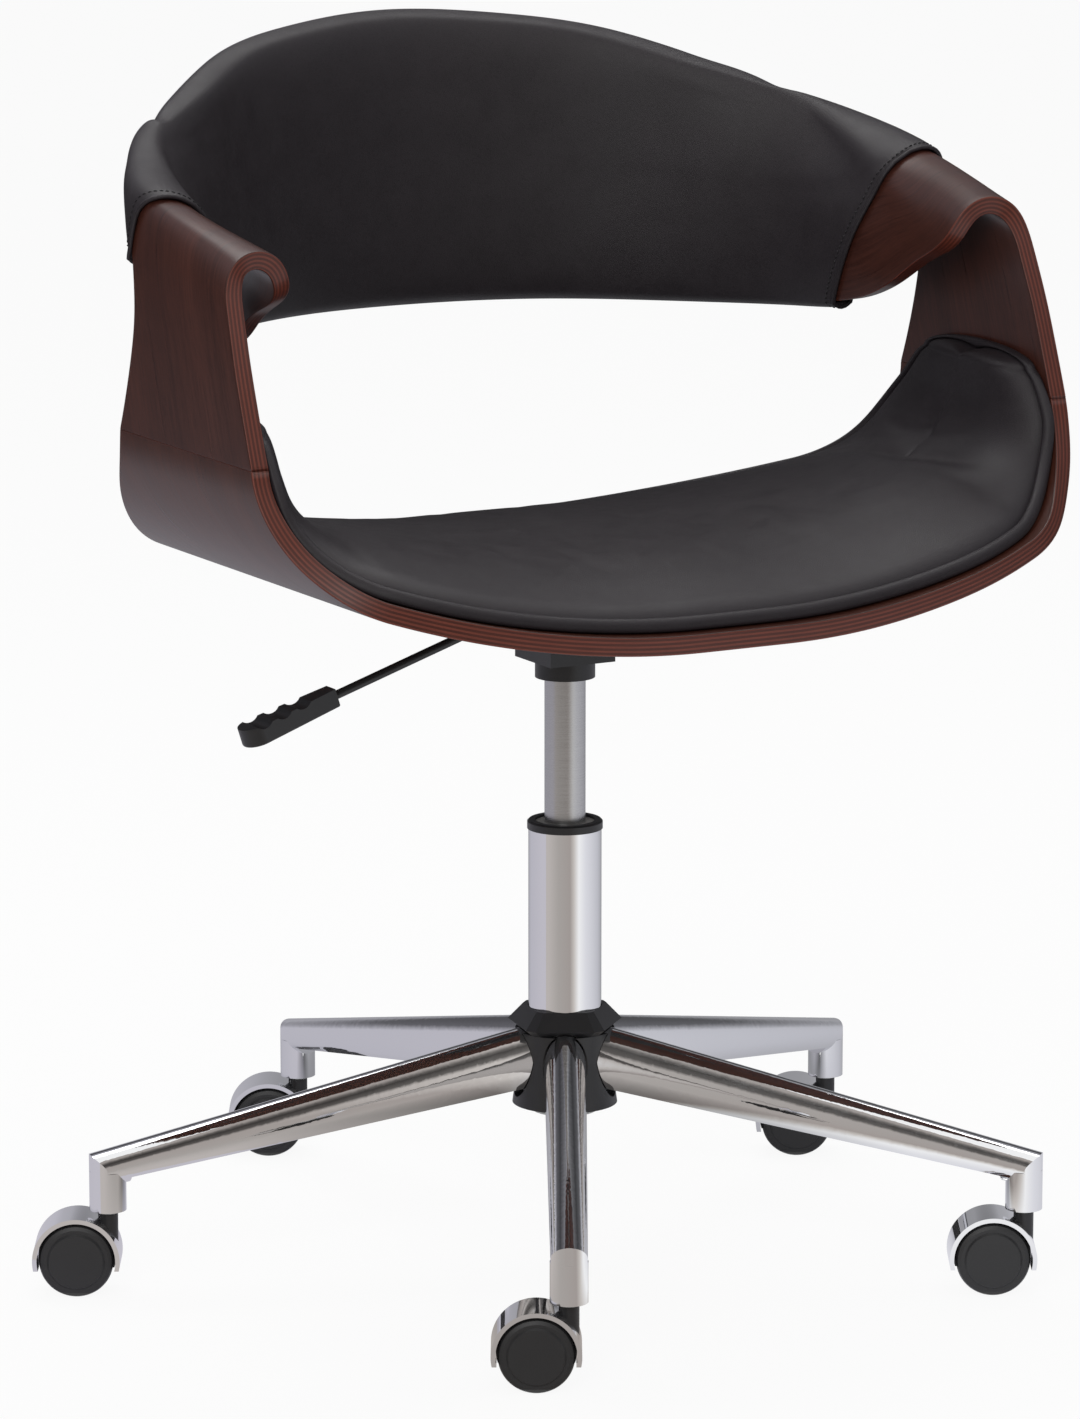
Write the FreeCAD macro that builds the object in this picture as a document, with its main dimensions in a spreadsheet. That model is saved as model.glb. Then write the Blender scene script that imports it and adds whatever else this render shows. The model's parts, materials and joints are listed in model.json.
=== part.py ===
import FreeCAD, Part
import math
import os
import re

from FreeCAD import Placement, Rotation, Vector

# Bentwood swivel chair. Millimetres, +Z up, the sitter faces -Y.
# The origin lies on the floor, on the axis of the column.

doc = FreeCAD.newDocument("bentwood_chair")
sheet = doc.addObject("Spreadsheet::Sheet", "Sizes")

# Driving dimensions: alias, value and what it measures

SIZES = (
    ("gap", 0.3, "air between faces that only lie near each other"),
    ("running_clearance", 0.1, "radial play of a turning or sliding fit"),
    ("overrun", 2, "how far a cutting tool runs past the metal"),
    # Five-leg base
    ("leg_first_angle", -118.7, "direction of the first leg, in degrees"),
    ("stem_reach", 324.6, "column axis to each caster stem"),
    ("socket_dia", 25, "outside of the upright socket at a leg's tip"),
    ("socket_bore", 20.4, "bore that holds the grip sleeve"),
    ("socket_bottom", 57, "height of the socket's lower edge"),
    ("socket_bore_depth", 33, "depth of that bore"),
    ("leg_root_top", 161.4, "top of a leg where it meets the hub"),
    ("leg_root_bottom", 113.6, "underside of a leg where it meets the hub"),
    ("leg_root_width", 29, "width of a leg at the hub"),
    ("leg_tip_top", 96.2, "top of a leg at its outer end"),
    ("leg_tip_bottom", 72, "underside of a leg at its outer end"),
    ("leg_tip_width", 24, "width of a leg at its outer end"),
    ("leg_wall", 1.8, "wall of the leg tube"),
    ("hub_core_dia", 58, "steel ring that the legs are welded to"),
    ("hub_core_bottom", 108, "its lower face"),
    ("hub_core_top", 164, "its upper face"),
    # Plastic hub cover
    ("cover_bottom", 106, "lower edge of the hub cover"),
    ("cover_bottom_dia", 72, "diameter there"),
    ("cover_waist", 138, "height of the cover's waist"),
    ("cover_waist_dia", 63, "diameter of the waist"),
    ("cover_shoulder", 158, "underside of the faceted collar"),
    ("cover_shoulder_dia", 68, "diameter of the cover below the collar"),
    ("collar_dia", 80, "largest diameter of the faceted collar"),
    ("collar_edge", 162.5, "height of the collar's widest edge"),
    ("collar_top", 174, "top of the collar"),
    ("collar_top_dia", 58, "diameter of the collar's top opening edge"),
    ("collar_facet", 30, "half angle of each wide facet, in degrees"),
    ("leg_arch_gap", 0.8, "gap between a leg and the arch in the cover"),
    ("base_cap_dia", 45, "cap under the hub"),
    ("base_cap_depth", 5.5, "depth of that cap"),
    ("base_cap_wall", 1.6, "wall of that cap"),
    # Column
    ("tube_dia", 50, "chrome column tube"),
    ("tube_wall", 1.8, "its wall"),
    ("tube_bottom", 106, "its lower end"),
    ("tube_taper_start", 166, "where its taper into the hub begins"),
    ("tube_bottom_dia", 47, "diameter of the taper's lower end"),
    ("tube_top", 298, "upper end of the tube"),
    ("tube_floor", 3, "thickness of the tube's closed end"),
    ("ring_dia", 51.6, "black ring on the tube's end"),
    ("ring_height", 6, "height of that ring"),
    ("ring_bore", 41, "opening of that ring"),
    ("ring_lip", 5, "how far the ring reaches down inside the tube"),
    ("bush_length", 76, "guide bush inside the tube"),
    ("bush_flange", 4.4, "height of the bush's flange above the tube"),
    ("bush_flange_dia", 40.4, "diameter of that flange"),
    ("bush_slot_count", 12, "notches round the flange"),
    ("bush_slot_width", 1.6, "width of each notch"),
    ("bush_slot_root_dia", 33.9, "diameter at which the notches begin"),
    # Gas lift
    ("cylinder_dia", 28, "satin steel pressure tube"),
    ("cylinder_wall", 1.5, "its wall"),
    ("cylinder_bottom", 226, "its lower end with the seat raised"),
    ("cylinder_taper_start", 403, "where its taper into the boss begins"),
    ("cylinder_top", 436, "its closed upper end"),
    ("cylinder_top_dia", 26.4, "diameter of the taper's upper end"),
    ("cylinder_head", 8, "thickness of the closed upper end"),
    ("gland_height", 14, "seal at the lower end of the pressure tube"),
    ("lift_stroke", 90, "travel of the seat, downwards from here"),
    ("rod_dia", 10, "piston rod"),
    ("rod_foot", 102.6, "lower end of the piston rod"),
    ("piston_height", 12, "piston"),
    ("clip_dia", 18, "clip under the tube that holds the rod down"),
    ("clip_height", 2, "thickness of that clip"),
    ("race_dia", 26, "washers of the thrust bearing"),
    ("race_height", 2, "thickness of each washer"),
    ("roller_ring_height", 4, "ring of rollers between the washers"),
    ("bumper_dia", 22, "rubber ring that stops the seat at its lowest"),
    ("bumper_height", 8, "height of that ring"),
    ("button_dia", 8, "valve button on top of the pressure tube"),
    ("button_proud", 6.7, "how far the button stands out"),
    ("button_depth", 5, "length of the button inside the tube's head"),
    ("button_travel", 3.5, "free depth below the button"),
    # Seat mechanism
    ("housing_width", 50, "box under the seat, across"),
    ("housing_depth", 50, "the same box, front to back"),
    ("housing_bottom", 415, "underside of the box"),
    ("housing_wall", 4, "its walls"),
    ("boss_dia", 41, "round boss that takes the pressure tube"),
    ("boss_bottom", 403, "lower face of that boss"),
    ("plate_width", 150, "steel plate under the shell, across"),
    ("plate_depth", 170, "the same plate, front to back"),
    ("plate_thickness", 3, "its thickness"),
    ("plate_corner", 18, "radius of the plate's corners"),
    ("bolt_across", 120, "bolt spacing across"),
    ("bolt_along", 130, "bolt spacing front to back"),
    ("bolt_dia", 6, "bolts"),
    ("bolt_head_dia", 11, "their heads"),
    ("bolt_head_height", 4, "height of each head"),
    ("nut_barrel_dia", 8.4, "barrel of each tee nut"),
    ("nut_barrel_length", 9, "length of that barrel"),
    ("nut_flange_dia", 19, "flange of each tee nut"),
    ("nut_flange_height", 1.2, "thickness of that flange"),
    ("pivot_back", 15, "lever pivot, from the column axis"),
    ("pivot_rise", 446, "height of the lever pivot"),
    ("pivot_pin_dia", 5, "pivot pin"),
    ("pivot_eye_dia", 11, "eye of the lever round the pin"),
    ("pivot_eye_width", 12, "width of that eye"),
    # Lever
    ("lever_dia", 6, "lever rod"),
    ("lever_straight", 40, "level run of the rod outside the pivot"),
    ("lever_slope", 18, "droop of the rod, in degrees"),
    ("lever_run", 152, "length of the drooping run"),
    ("lever_inner", 22, "length of the rod inside the pivot"),
    ("grip_length", 72, "lever grip"),
    ("grip_overlap", 24, "length of rod inside the grip"),
    ("grip_root_width", 13, "width of the grip at the rod"),
    ("grip_tip_width", 24, "width of the grip at its tip"),
    ("grip_height", 13, "thickness of the grip"),
    ("grip_notch_dia", 15, "finger notches under the grip"),
    ("grip_notch_depth", 2.6, "depth of those notches"),
    # Casters
    ("wheel_dia", 50, "caster wheel"),
    ("wheel_width", 15.5, "width of one of the twin wheels"),
    ("wheel_edge", 3.4, "rounding of the wheel's outer edge"),
    ("wheel_bevel", 1.02, "how far the middle of that rounding is drawn in"),
    ("wheel_face_dia", 39, "raised disc on the wheel's face"),
    ("wheel_face_rise", 1.4, "how far that disc stands out"),
    ("wheel_play", 0.5, "air on each side of a wheel"),
    ("trail", 21, "caster stem to wheel axis"),
    ("trail_angle", 151, "direction of the trail in the photograph"),
    ("axle_dia", 6, "caster axle"),
    ("axle_bite", 11.2, "how far the axle reaches into each wheel"),
    ("web_thickness", 6, "web between the twin wheels"),
    ("web_dia", 52.4, "diameter of that web"),
    ("web_bottom", 17, "lower edge of that web"),
    ("hood_bore", 53, "inside of the chrome hood"),
    ("hood_dia", 59, "outside of the chrome hood"),
    ("hood_depth", 37, "depth of the hood along the axle"),
    ("hood_bottom", 18.5, "lower ends of the hood"),
    ("neck_dia", 13.5, "neck of the caster"),
    ("neck_top", 54.8, "top of that neck"),
    ("neck_bottom", 31, "bottom of that neck"),
    ("stem_dia", 11, "caster stem"),
    ("stem_top", 87, "upper end of the stem"),
    ("stem_seat", 44, "lower end of the stem inside the neck"),
    ("sleeve_lip", 1.5, "lip of the grip sleeve below the socket"),
    ("sleeve_lip_dia", 16, "diameter of that lip"),
    ("sleeve_length", 31, "length of the sleeve inside the socket"),
    # Bentwood shell
    ("ply", 12.5, "thickness of the moulded plywood"),
    ("shell_half_width", 308.5, "column axis to the outside of the shell"),
    ("shell_underside", 463, "lowest line of the shell"),
    ("shell_flat", 30, "half width of the flat strip under the seat"),
    ("shell_sweep", 700, "radius of the shallow curve of the seat"),
    ("shell_corner", 94, "radius of the corner up to the arm panel"),
    ("seam_height", 590, "joint between the seat and the arm ribbon"),
    ("seat_front", 240, "column axis to the front edge of the shell"),
    ("back_rise", 238, "seam to the top edge of the back"),
    ("back_reach", 247, "column axis to the front of the back board"),
    # Upholstery
    ("pad_air", 0.5, "air between the shell and the seat cushion's foot"),
    ("pad_crown", 31, "height of the seat cushion at its middle"),
    ("pad_edge", 9, "height of its border"),
    ("pad_border", 10, "width of the border outside the seam"),
    ("pad_tuck", 2.5, "how far the border is drawn in at its foot"),
    ("pad_seam_depth", 1.5, "depth of the seam beside the border"),
    ("pad_inset", 8, "shell's edge to the cushion"),
    ("wing_rise", 28, "top of the cushion's wings, above the seam"),
    ("back_pad_crown", 13, "padding in front of the back board"),
    ("back_pad_edge", 4.5, "padding at the edges of the back"),
    ("back_pad_rear", 3.5, "leather behind the back board"),
    ("back_pad_air", 1.0, "air between the board and its cover"),
    ("back_pad_leather", 0.4, "thinnest leather of the cover, under the bend"),
    ("back_pad_hem", 5, "how far the cover stands past the board's edge"),
    ("mouth_low", 690, "height where the cover's mouth leaves the panel"),
    ("mouth_low_back", 27, "its distance behind the column axis there"),
    ("mouth_high_back", 6, "the same at the crest of the arm"),
    ("mouth_high", 750, "height of the crest at the cover's mouth"),
)

# Shares of the strip's own length, half width, reach and rise.
# Each row is one line across the arm and back ribbon, from its front or
# lower edge to its rear or top edge: edge point, edge point, and how far
# the line bulges outwards at its thirds.

ribbon_shares = (
    ((1.000, -0.579, 0.0008), (1.000, 0.202, 0.0008), (0.000, 0.000)),
    ((1.000, -0.530, 0.134), (1.000, 0.146, 0.160), (0.000, 0.000)),
    ((0.998, -0.478, 0.273), (1.000, 0.109, 0.315), (0.000, 0.000)),
    ((0.992, -0.429, 0.399), (0.998, 0.117, 0.462), (0.000, 0.000)),
    ((0.986, -0.405, 0.462), (0.985, 0.162, 0.563), (0.002, 0.005)),
    ((0.961, -0.388, 0.527), (0.952, 0.256, 0.655), (0.012, 0.019)),
    ((0.904, -0.377, 0.560), (0.911, 0.346, 0.702), (0.026, 0.036)),
    ((0.842, -0.364, 0.529), (0.873, 0.415, 0.733), (0.031, 0.042)),
    ((0.809, -0.336, 0.454), (0.834, 0.455, 0.756), (0.032, 0.042)),
    ((0.801, -0.194, 0.361), (0.797, 0.490, 0.775), (0.026, 0.045)),
    ((0.791, -0.061, 0.277), (0.759, 0.530, 0.796), (0.023, 0.049)),
    ((0.781, 0.101, 0.214), (0.697, 0.595, 0.826), (0.026, 0.045)),
    ((0.739, 0.364, 0.181), (0.609, 0.680, 0.863), (0.016, 0.026)),
    ((0.603, 0.640, 0.168), (0.464, 0.822, 0.931), (0.006, 0.010)),
    ((0.334, 0.883, 0.168), (0.250, 0.943, 0.979), (0.000, 0.000)),
    ((0.000, 0.968, 0.168), (0.000, 1.000, 1.000), (0.000, 0.000)),
)

# Rows of the ribbon between which each arm lies

ARM_ROWS = (0, 12)

# Rows between which the ribbon's upper edge is thinned, and by how much

BEND_ROWS = (4.5, 5.25, 9.75, 11)
bend_edge_shares = (0.5, 0.9)
bend_thin_share = 0.84
rear_thin_share = 0.7

# Places along and across the back's cover at which it is shaped

COVER_STEPS = 84
mouth_crowding_share = 0.75
place_shares = (
    (0.0, 0.02, 0.05, 0.09, 0.131, 0.172, 0.213, 0.254, 0.295, 0.336, 0.377, 0.418),
    (0.44, 0.455, 0.465, 0.475, 0.485, 0.495, 0.508, 0.524, 0.541, 0.582, 0.623),
    (0.664, 0.705, 0.746, 0.787, 0.828, 0.869, 0.91, 0.95, 0.98, 1.0),
)
cover_place_shares = [place for row in place_shares for place in row]

# How much of its padding the cover keeps at its long edges

cover_edge_share = 0.4

# Places across the crown of the seat cushion, from its middle, and how the
# crown falls off towards them

crown_place_shares = (-1.0, -0.93, -0.82, -0.66, -0.45, -0.22, 0.0, 0.22, 0.45, 0.66, 0.82, 0.93, 1.0)
CROWN_POWER = 3.4
crown_lean_share = 0.25
ROLL_POWER = 4
FADE_POWER = 3

# What the cushion's border keeps of its height and width at the wings' tops,
# and where its round meets the seam

wing_edge_share = 0.6
wing_border_share = 0.5
border_round_share = 0.7

# Middles of the finger notches along the grip

notch_shares = (0.36, 0.58, 0.80)

# Stations and lines at which the formed pieces are shaped

ARM_STATIONS = 61
BOARD_STATIONS = 21
RIBBON_LINES = 21
SHELL_STATIONS = 65
SHELL_LINES = 5
CUSHION_STATIONS = 29
MOUTH_ROWS = (1, 14)
HALVINGS = 40
SMALL_STEP = 1e-4

# Edges of the seat shell and of its cushion, at shares of the half profile
# from the middle: shares of the seat's front distance.

seat_edge_shares = (
    (0.00, -1.000, 0.812),
    (0.20, -0.996, 0.785),
    (0.41, -0.962, 0.708),
    (0.55, -0.925, 0.608),
    (0.66, -0.875, 0.500),
    (0.75, -0.812, 0.415),
    (0.82, -0.735, 0.345),
    (0.89, -0.668, 0.275),
    (0.945, -0.625, 0.225),
    (1.00, -0.596, 0.208),
)

wing_shares = (
    (0.00, -0.963, 0.779),
    (0.41, -0.925, 0.675),
    (0.66, -0.838, 0.467),
    (0.82, -0.700, 0.315),
    (0.90, -0.650, 0.255),
    (0.960, -0.625, 0.190),
    (1.020, -0.570, 0.100),
    (1.050, -0.500, 0.010),
    (1.070, -0.375, -0.155),
)

ALIASES = {row[0] for row in SIZES}


def fill_sheet():
    """Writes each driving dimension to its own cell."""
    for number, (alias, value, note) in enumerate(SIZES, start=1):
        cell = "A%d" % number
        sheet.set(cell, str(value))
        sheet.setAlias(cell, alias)
        sheet.set("B%d" % number, note)
    doc.recompute()


fill_sheet()


def size(alias):
    """The value of a driving dimension."""
    return float(sheet.get(alias))


def bound(words):
    """An expression in which each alias points at its cell."""
    return re.sub(r"[a-z_]+", lambda m: "Sizes." + m.group() if m.group() in ALIASES else m.group(), words)


def bind(thing, **expressions):
    """Binds properties to the sheet; a double underscore stands for a dot."""
    for name, words in expressions.items():
        thing.setExpression(name.replace("__", "."), bound(words))


NODES = []


def node(thing, label):
    """Names a finished sub-part."""
    thing.Label = label
    NODES.append(thing)
    return thing


def placed(thing, x="0", y="0", z="0"):
    """Puts a primitive at a place worked out from the sheet."""
    bind(thing, Placement__Base__x=x, Placement__Base__y=y, Placement__Base__z=z)
    return thing


def turned(thing, axis, angle):
    """Turns a primitive about its own origin."""
    thing.Placement = Placement(thing.Placement.Base, Rotation(axis, angle))
    return thing


X, Y, Z = Vector(1, 0, 0), Vector(0, 1, 0), Vector(0, 0, 1)


def cylinder(radius, height, x="0", y="0", z="0", axis=Z, name="cylinder"):
    """A cylinder that rises from its place along an axis."""
    thing = doc.addObject("Part::Cylinder", name)
    if axis is not Z:
        thing.Placement = Placement(Vector(), Rotation(Z, axis))
    bind(thing, Radius=radius, Height=height)
    return placed(thing, x, y, z)


def cone(radius_low, radius_high, height, z="0", name="cone"):
    """A cone on the column's axis."""
    thing = doc.addObject("Part::Cone", name)
    bind(thing, Radius1=radius_low, Radius2=radius_high, Height=height)
    return placed(thing, z=z)


def block(width, depth, height, x="0", y="0", z="0", name="block"):
    """A box whose lowest corner is at its place."""
    thing = doc.addObject("Part::Box", name)
    bind(thing, Length=width, Width=depth, Height=height)
    return placed(thing, x, y, z)


def fuse(*parts):
    """Joins primitives into one solid."""
    thing = doc.addObject("Part::MultiFuse", "joined")
    thing.Shapes = list(parts)
    thing.Refine = True
    return thing


def group(*parts):
    """Keeps separate solids together in one sub-part."""
    thing = doc.addObject("Part::Compound", "group")
    thing.Links = list(parts)
    return thing


def cut(base, *tools):
    """Takes tools away from a base."""
    for tool in tools:
        thing = doc.addObject("Part::Cut", "cut")
        thing.Base = base
        thing.Tool = tool
        base = thing
    return base


def common(base, tool):
    """What two shapes share."""
    thing = doc.addObject("Part::Common", "common")
    thing.Base = base
    thing.Tool = tool
    return thing


def ring(outer, inner, height, z="0"):
    """A plain ring on the column's axis."""
    bore = cylinder(inner, height + " + 2 * overrun", z="%s - overrun" % z)
    return cut(cylinder(outer, height, z=z), bore)


def formed(shape, name="formed"):
    """A sub-part whose shape is worked out below from the sheet."""
    thing = doc.addObject("Part::Feature", name)
    thing.Shape = shape
    return thing


# Five-leg base

LEG_ANGLES = [size("leg_first_angle") + 360 / 5 * index for index in range(5)]


def polar(radius, angle):
    """The two sheet expressions of a point round the column."""
    return "%s * cos(%s)" % (radius, angle), "%s * sin(%s)" % (radius, angle)


def leg_angle_words(index):
    """Direction of a leg, as a sheet expression."""
    return "leg_first_angle + 360 / 5 * %d" % index


def leg_section(distance, top, bottom, width, margin):
    """An upright ellipse across a leg that points along +X."""
    thing = doc.addObject("Part::Ellipse", "leg_section")
    turned(thing, Y, 90)
    bind(
        thing,
        MajorRadius="(%s - %s) / 2 + %s" % (top, bottom, margin),
        MinorRadius="%s / 2 + %s" % (width, margin),
    )
    return placed(thing, x=distance, z="(%s + %s) / 2" % (top, bottom))


def leg_tube(margin, start, end):
    """The tapering oval of a leg, grown or shrunk by a margin."""
    thing = doc.addObject("Part::Loft", "leg_tube")
    thing.Sections = [
        leg_section(start, "leg_root_top", "leg_root_bottom", "leg_root_width", margin),
        leg_section(end, "leg_tip_top", "leg_tip_bottom", "leg_tip_width", margin),
    ]
    thing.Solid = True
    thing.Ruled = True
    return thing


def aimed(thing, index):
    """Turns a leg-shaped piece from +X into the direction of its leg."""
    thing.Placement = Placement(Vector(), Rotation(Z, 0))
    bind(thing, Placement__Rotation__Angle=leg_angle_words(index))
    return thing


def make_leg(index):
    """A chromed oval tube with the upright caster socket at its tip."""
    end = "stem_reach + socket_dia / 2 - gap"
    tube = leg_tube("0", "hub_core_dia / 2 - overrun", end)
    plan = fuse(
        block("stem_reach", "leg_root_width * 2", "leg_root_top + overrun", y="-leg_root_width"),
        cylinder("socket_dia / 2", "leg_root_top", x="stem_reach"),
    )
    socket_rise = "(leg_tip_top + leg_tip_bottom) / 2 - socket_bottom"
    solid = fuse(
        common(tube, plan),
        cylinder("socket_dia / 2", socket_rise, x="stem_reach", z="socket_bottom"),
    )
    hollow_end = "stem_reach - socket_dia / 2 - leg_wall"
    hollow = leg_tube("-leg_wall", "0", hollow_end)
    bore = cylinder(
        "socket_bore / 2",
        "socket_bore_depth + overrun",
        x="stem_reach",
        z="socket_bottom - overrun",
    )
    core = cylinder("hub_core_dia / 2", "leg_root_top + overrun")
    return node(aimed(cut(solid, hollow, bore, core), index), "leg_%d" % (index + 1))


def make_sleeves():
    """Grip sleeves that hold the caster stems."""
    sleeves = []
    for index in range(5):
        x, y = polar("stem_reach", leg_angle_words(index))
        body = fuse(
            cylinder("socket_bore / 2", "sleeve_length", x, y, "socket_bottom"),
            cylinder("sleeve_lip_dia / 2", "sleeve_lip", x, y, "socket_bottom - sleeve_lip"),
        )
        bore = cylinder(
            "stem_dia / 2 + running_clearance",
            "sleeve_length + 2 * overrun + sleeve_lip",
            x,
            y,
            "socket_bottom - sleeve_lip - overrun",
        )
        sleeves.append(cut(body, bore))
    return node(group(*sleeves), "caster_sleeves")


def column_taper(margin):
    """The tapered foot of the column, grown by a margin."""
    return cone(
        "tube_bottom_dia / 2 + " + margin,
        "tube_dia / 2 + " + margin,
        "tube_taper_start - tube_bottom",
        z="tube_bottom",
    )


def make_hub_core():
    """Steel ring with the tapered bore for the column."""
    body = cylinder("hub_core_dia / 2", "hub_core_top - hub_core_bottom", z="hub_core_bottom")
    return node(cut(body, column_taper("0")), "hub_core")


def facet_wire(radius, height):
    """Ten-sided outline: a wide facet over each leg, a narrow one between."""
    wide = size("collar_facet")
    points = []
    for angle in LEG_ANGLES:
        for side in (-wide, wide):
            turn = math.radians(angle + side)
            points.append(Vector(radius * math.cos(turn), radius * math.sin(turn), height))
    return Part.makePolygon(points + points[:1])


def make_hub_cover():
    """Black plastic cover: flared skirt, waist and faceted collar."""
    skirt = cone(
        "cover_bottom_dia / 2", "cover_waist_dia / 2", "cover_waist - cover_bottom", z="cover_bottom"
    )
    throat = cone(
        "cover_waist_dia / 2", "cover_shoulder_dia / 2", "cover_shoulder - cover_waist", z="cover_waist"
    )
    low = facet_wire(size("cover_shoulder_dia") / 2, size("cover_shoulder"))
    edge = facet_wire(size("collar_dia") / 2, size("collar_edge"))
    top = facet_wire(size("collar_top_dia") / 2, size("collar_top"))
    collar = fuse(
        formed(Part.makeLoft([low, edge], True, True), "collar_low"),
        formed(Part.makeLoft([edge, top], True, True), "collar_top"),
    )
    cavity = cylinder(
        "hub_core_dia / 2 + gap", "hub_core_top + gap - cover_bottom + overrun", z="cover_bottom - overrun"
    )
    throat_bore = cylinder("tube_dia / 2 + gap", "collar_top", z="cover_bottom")
    arches = []
    for index in range(5):
        arch = leg_tube("leg_arch_gap", "hub_core_dia / 2 - overrun", "stem_reach")
        arches.append(aimed(arch, index))
    return node(cut(fuse(skirt, throat, collar), cavity, throat_bore, *arches), "hub_cover")


def make_base_cap():
    """Shallow cap that closes the underside of the hub."""
    outer = cylinder("base_cap_dia / 2", "base_cap_depth", z="tube_bottom - base_cap_depth")
    inner = cylinder(
        "base_cap_dia / 2 - base_cap_wall",
        "base_cap_depth",
        z="tube_bottom - base_cap_depth + base_cap_wall",
    )
    return node(cut(outer, inner), "hub_bottom_cap")


def make_column():
    """Chrome column tube, tapered at the foot and closed by a floor."""
    straight = cylinder("tube_dia / 2", "tube_top - tube_taper_start", z="tube_taper_start")
    bore = cylinder(
        "tube_bottom_dia / 2 - tube_wall",
        "tube_taper_start - tube_bottom + overrun",
        z="tube_bottom + tube_floor",
    )
    wide_bore = cylinder("tube_dia / 2 - tube_wall", "tube_top", z="tube_taper_start")
    rod_hole = cylinder(
        "rod_dia / 2 + running_clearance", "tube_floor + 2 * overrun", z="tube_bottom - overrun"
    )
    return node(cut(fuse(column_taper("0"), straight), bore, wide_bore, rod_hole), "column_tube")


def make_column_ring():
    """Black ring that finishes the upper end of the column tube."""
    top = ring("ring_dia / 2", "ring_bore / 2", "ring_height", "tube_top")
    lip = ring("tube_dia / 2 - tube_wall", "ring_bore / 2", "ring_lip", "tube_top - ring_lip")
    edged = doc.addObject("Part::Chamfer", "edged")
    edged.Base = top
    doc.recompute()
    bevel = size("ring_height") / 5
    rim = [
        number
        for number, edge in enumerate(top.Shape.Edges, start=1)
        if edge.Curve.TypeId == "Part::GeomCircle"
        and abs(edge.Curve.Radius - size("ring_dia") / 2) < size("gap")
        and edge.CenterOfMass.z > size("tube_top") + size("ring_height") / 2
    ]
    edged.Edges = [(number, bevel, bevel) for number in rim]
    return node(fuse(edged, lip), "column_ring")


def make_bush():
    """Guide bush for the pressure tube, with a notched flange on top."""
    inner = "cylinder_dia / 2 + running_clearance"
    lip_top = "tube_top - ring_lip"
    long_part = ring("tube_dia / 2 - tube_wall", inner, "bush_length - ring_lip", "tube_top - bush_length")
    neck_part = ring("bush_flange_dia / 2", inner, "ring_lip + bush_flange", lip_top)
    slots = []
    count = int(size("bush_slot_count"))
    for index in range(count):
        slot = block(
            "bush_flange_dia / 2",
            "bush_slot_width",
            "bush_flange",
            y="-bush_slot_width / 2",
            z="tube_top + bush_flange / 2",
        )
        start = block(
            "bush_flange_dia",
            "bush_flange_dia",
            "bush_flange",
            x="-bush_slot_root_dia / 2",
            y="-bush_flange_dia / 2",
            z="tube_top + bush_flange / 2",
        )
        thing = cut(slot, common(start, cylinder("bush_slot_root_dia / 2", "tube_top * 2")))
        thing.Placement = Placement(Vector(), Rotation(Z, 360 / count * index))
        slots.append(thing)
    return node(cut(fuse(long_part, neck_part), group(*slots)), "guide_bush")


# Thrust bearing and piston rod

def bearing_heights():
    """Heights of the bearing's faces above the column floor."""
    low = "tube_bottom + tube_floor"
    rollers = low + " + race_height"
    high = rollers + " + roller_ring_height + running_clearance"
    return low, rollers, high


def make_bearing():
    """Lower race and the ring of rollers that carry the rod's weight."""
    low, rollers, _ = bearing_heights()
    race = ring("race_dia / 2", "rod_dia / 2 + gap", "race_height", low)
    cage = ring("race_dia / 2 - overrun", "rod_dia / 2 + overrun", "roller_ring_height", rollers)
    return node(group(race, cage), "thrust_bearing")


def make_rod_parts():
    """Piston rod with its washer, bumper, piston and retaining clip."""
    _, _, high = bearing_heights()
    piston_low = "cylinder_bottom + gland_height + 2 * overrun"
    node(cylinder("rod_dia / 2", piston_low + " - rod_foot", z="rod_foot"), "piston_rod")
    node(ring("race_dia / 2", "rod_dia / 2", "race_height", high), "bearing_washer")
    bumper_low = high + " + race_height"
    node(ring("bumper_dia / 2", "rod_dia / 2", "bumper_height", bumper_low), "bump_stop")
    piston = cylinder("cylinder_dia / 2 - cylinder_wall - running_clearance", "piston_height", z=piston_low)
    node(piston, "piston")
    clip_low = "tube_bottom - running_clearance - clip_height"
    node(ring("clip_dia / 2", "rod_dia / 2", "clip_height", clip_low), "rod_clip")


def make_lift_cylinder():
    """Pressure tube of the gas lift, with its tapered head and seal."""
    straight = cylinder("cylinder_dia / 2", "cylinder_taper_start - cylinder_bottom", z="cylinder_bottom")
    head = cone(
        "cylinder_dia / 2",
        "cylinder_top_dia / 2",
        "cylinder_top - cylinder_taper_start",
        z="cylinder_taper_start",
    )
    inside = cylinder(
        "cylinder_dia / 2 - cylinder_wall",
        "cylinder_top - cylinder_head - cylinder_bottom + overrun",
        z="cylinder_bottom - overrun",
    )
    button_hole = cylinder(
        "button_dia / 2 + running_clearance",
        "button_depth + button_travel + overrun",
        z="cylinder_top - button_depth - button_travel",
    )
    node(cut(fuse(straight, head), inside, button_hole), "lift_cylinder")
    gland = ring(
        "cylinder_dia / 2 - cylinder_wall",
        "rod_dia / 2 + running_clearance",
        "gland_height",
        "cylinder_bottom",
    )
    node(gland, "cylinder_seal")
    button = cylinder("button_dia / 2", "button_depth + button_proud", z="cylinder_top - button_depth")
    node(button, "valve_button")


# Mechanism under the seat

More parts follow.
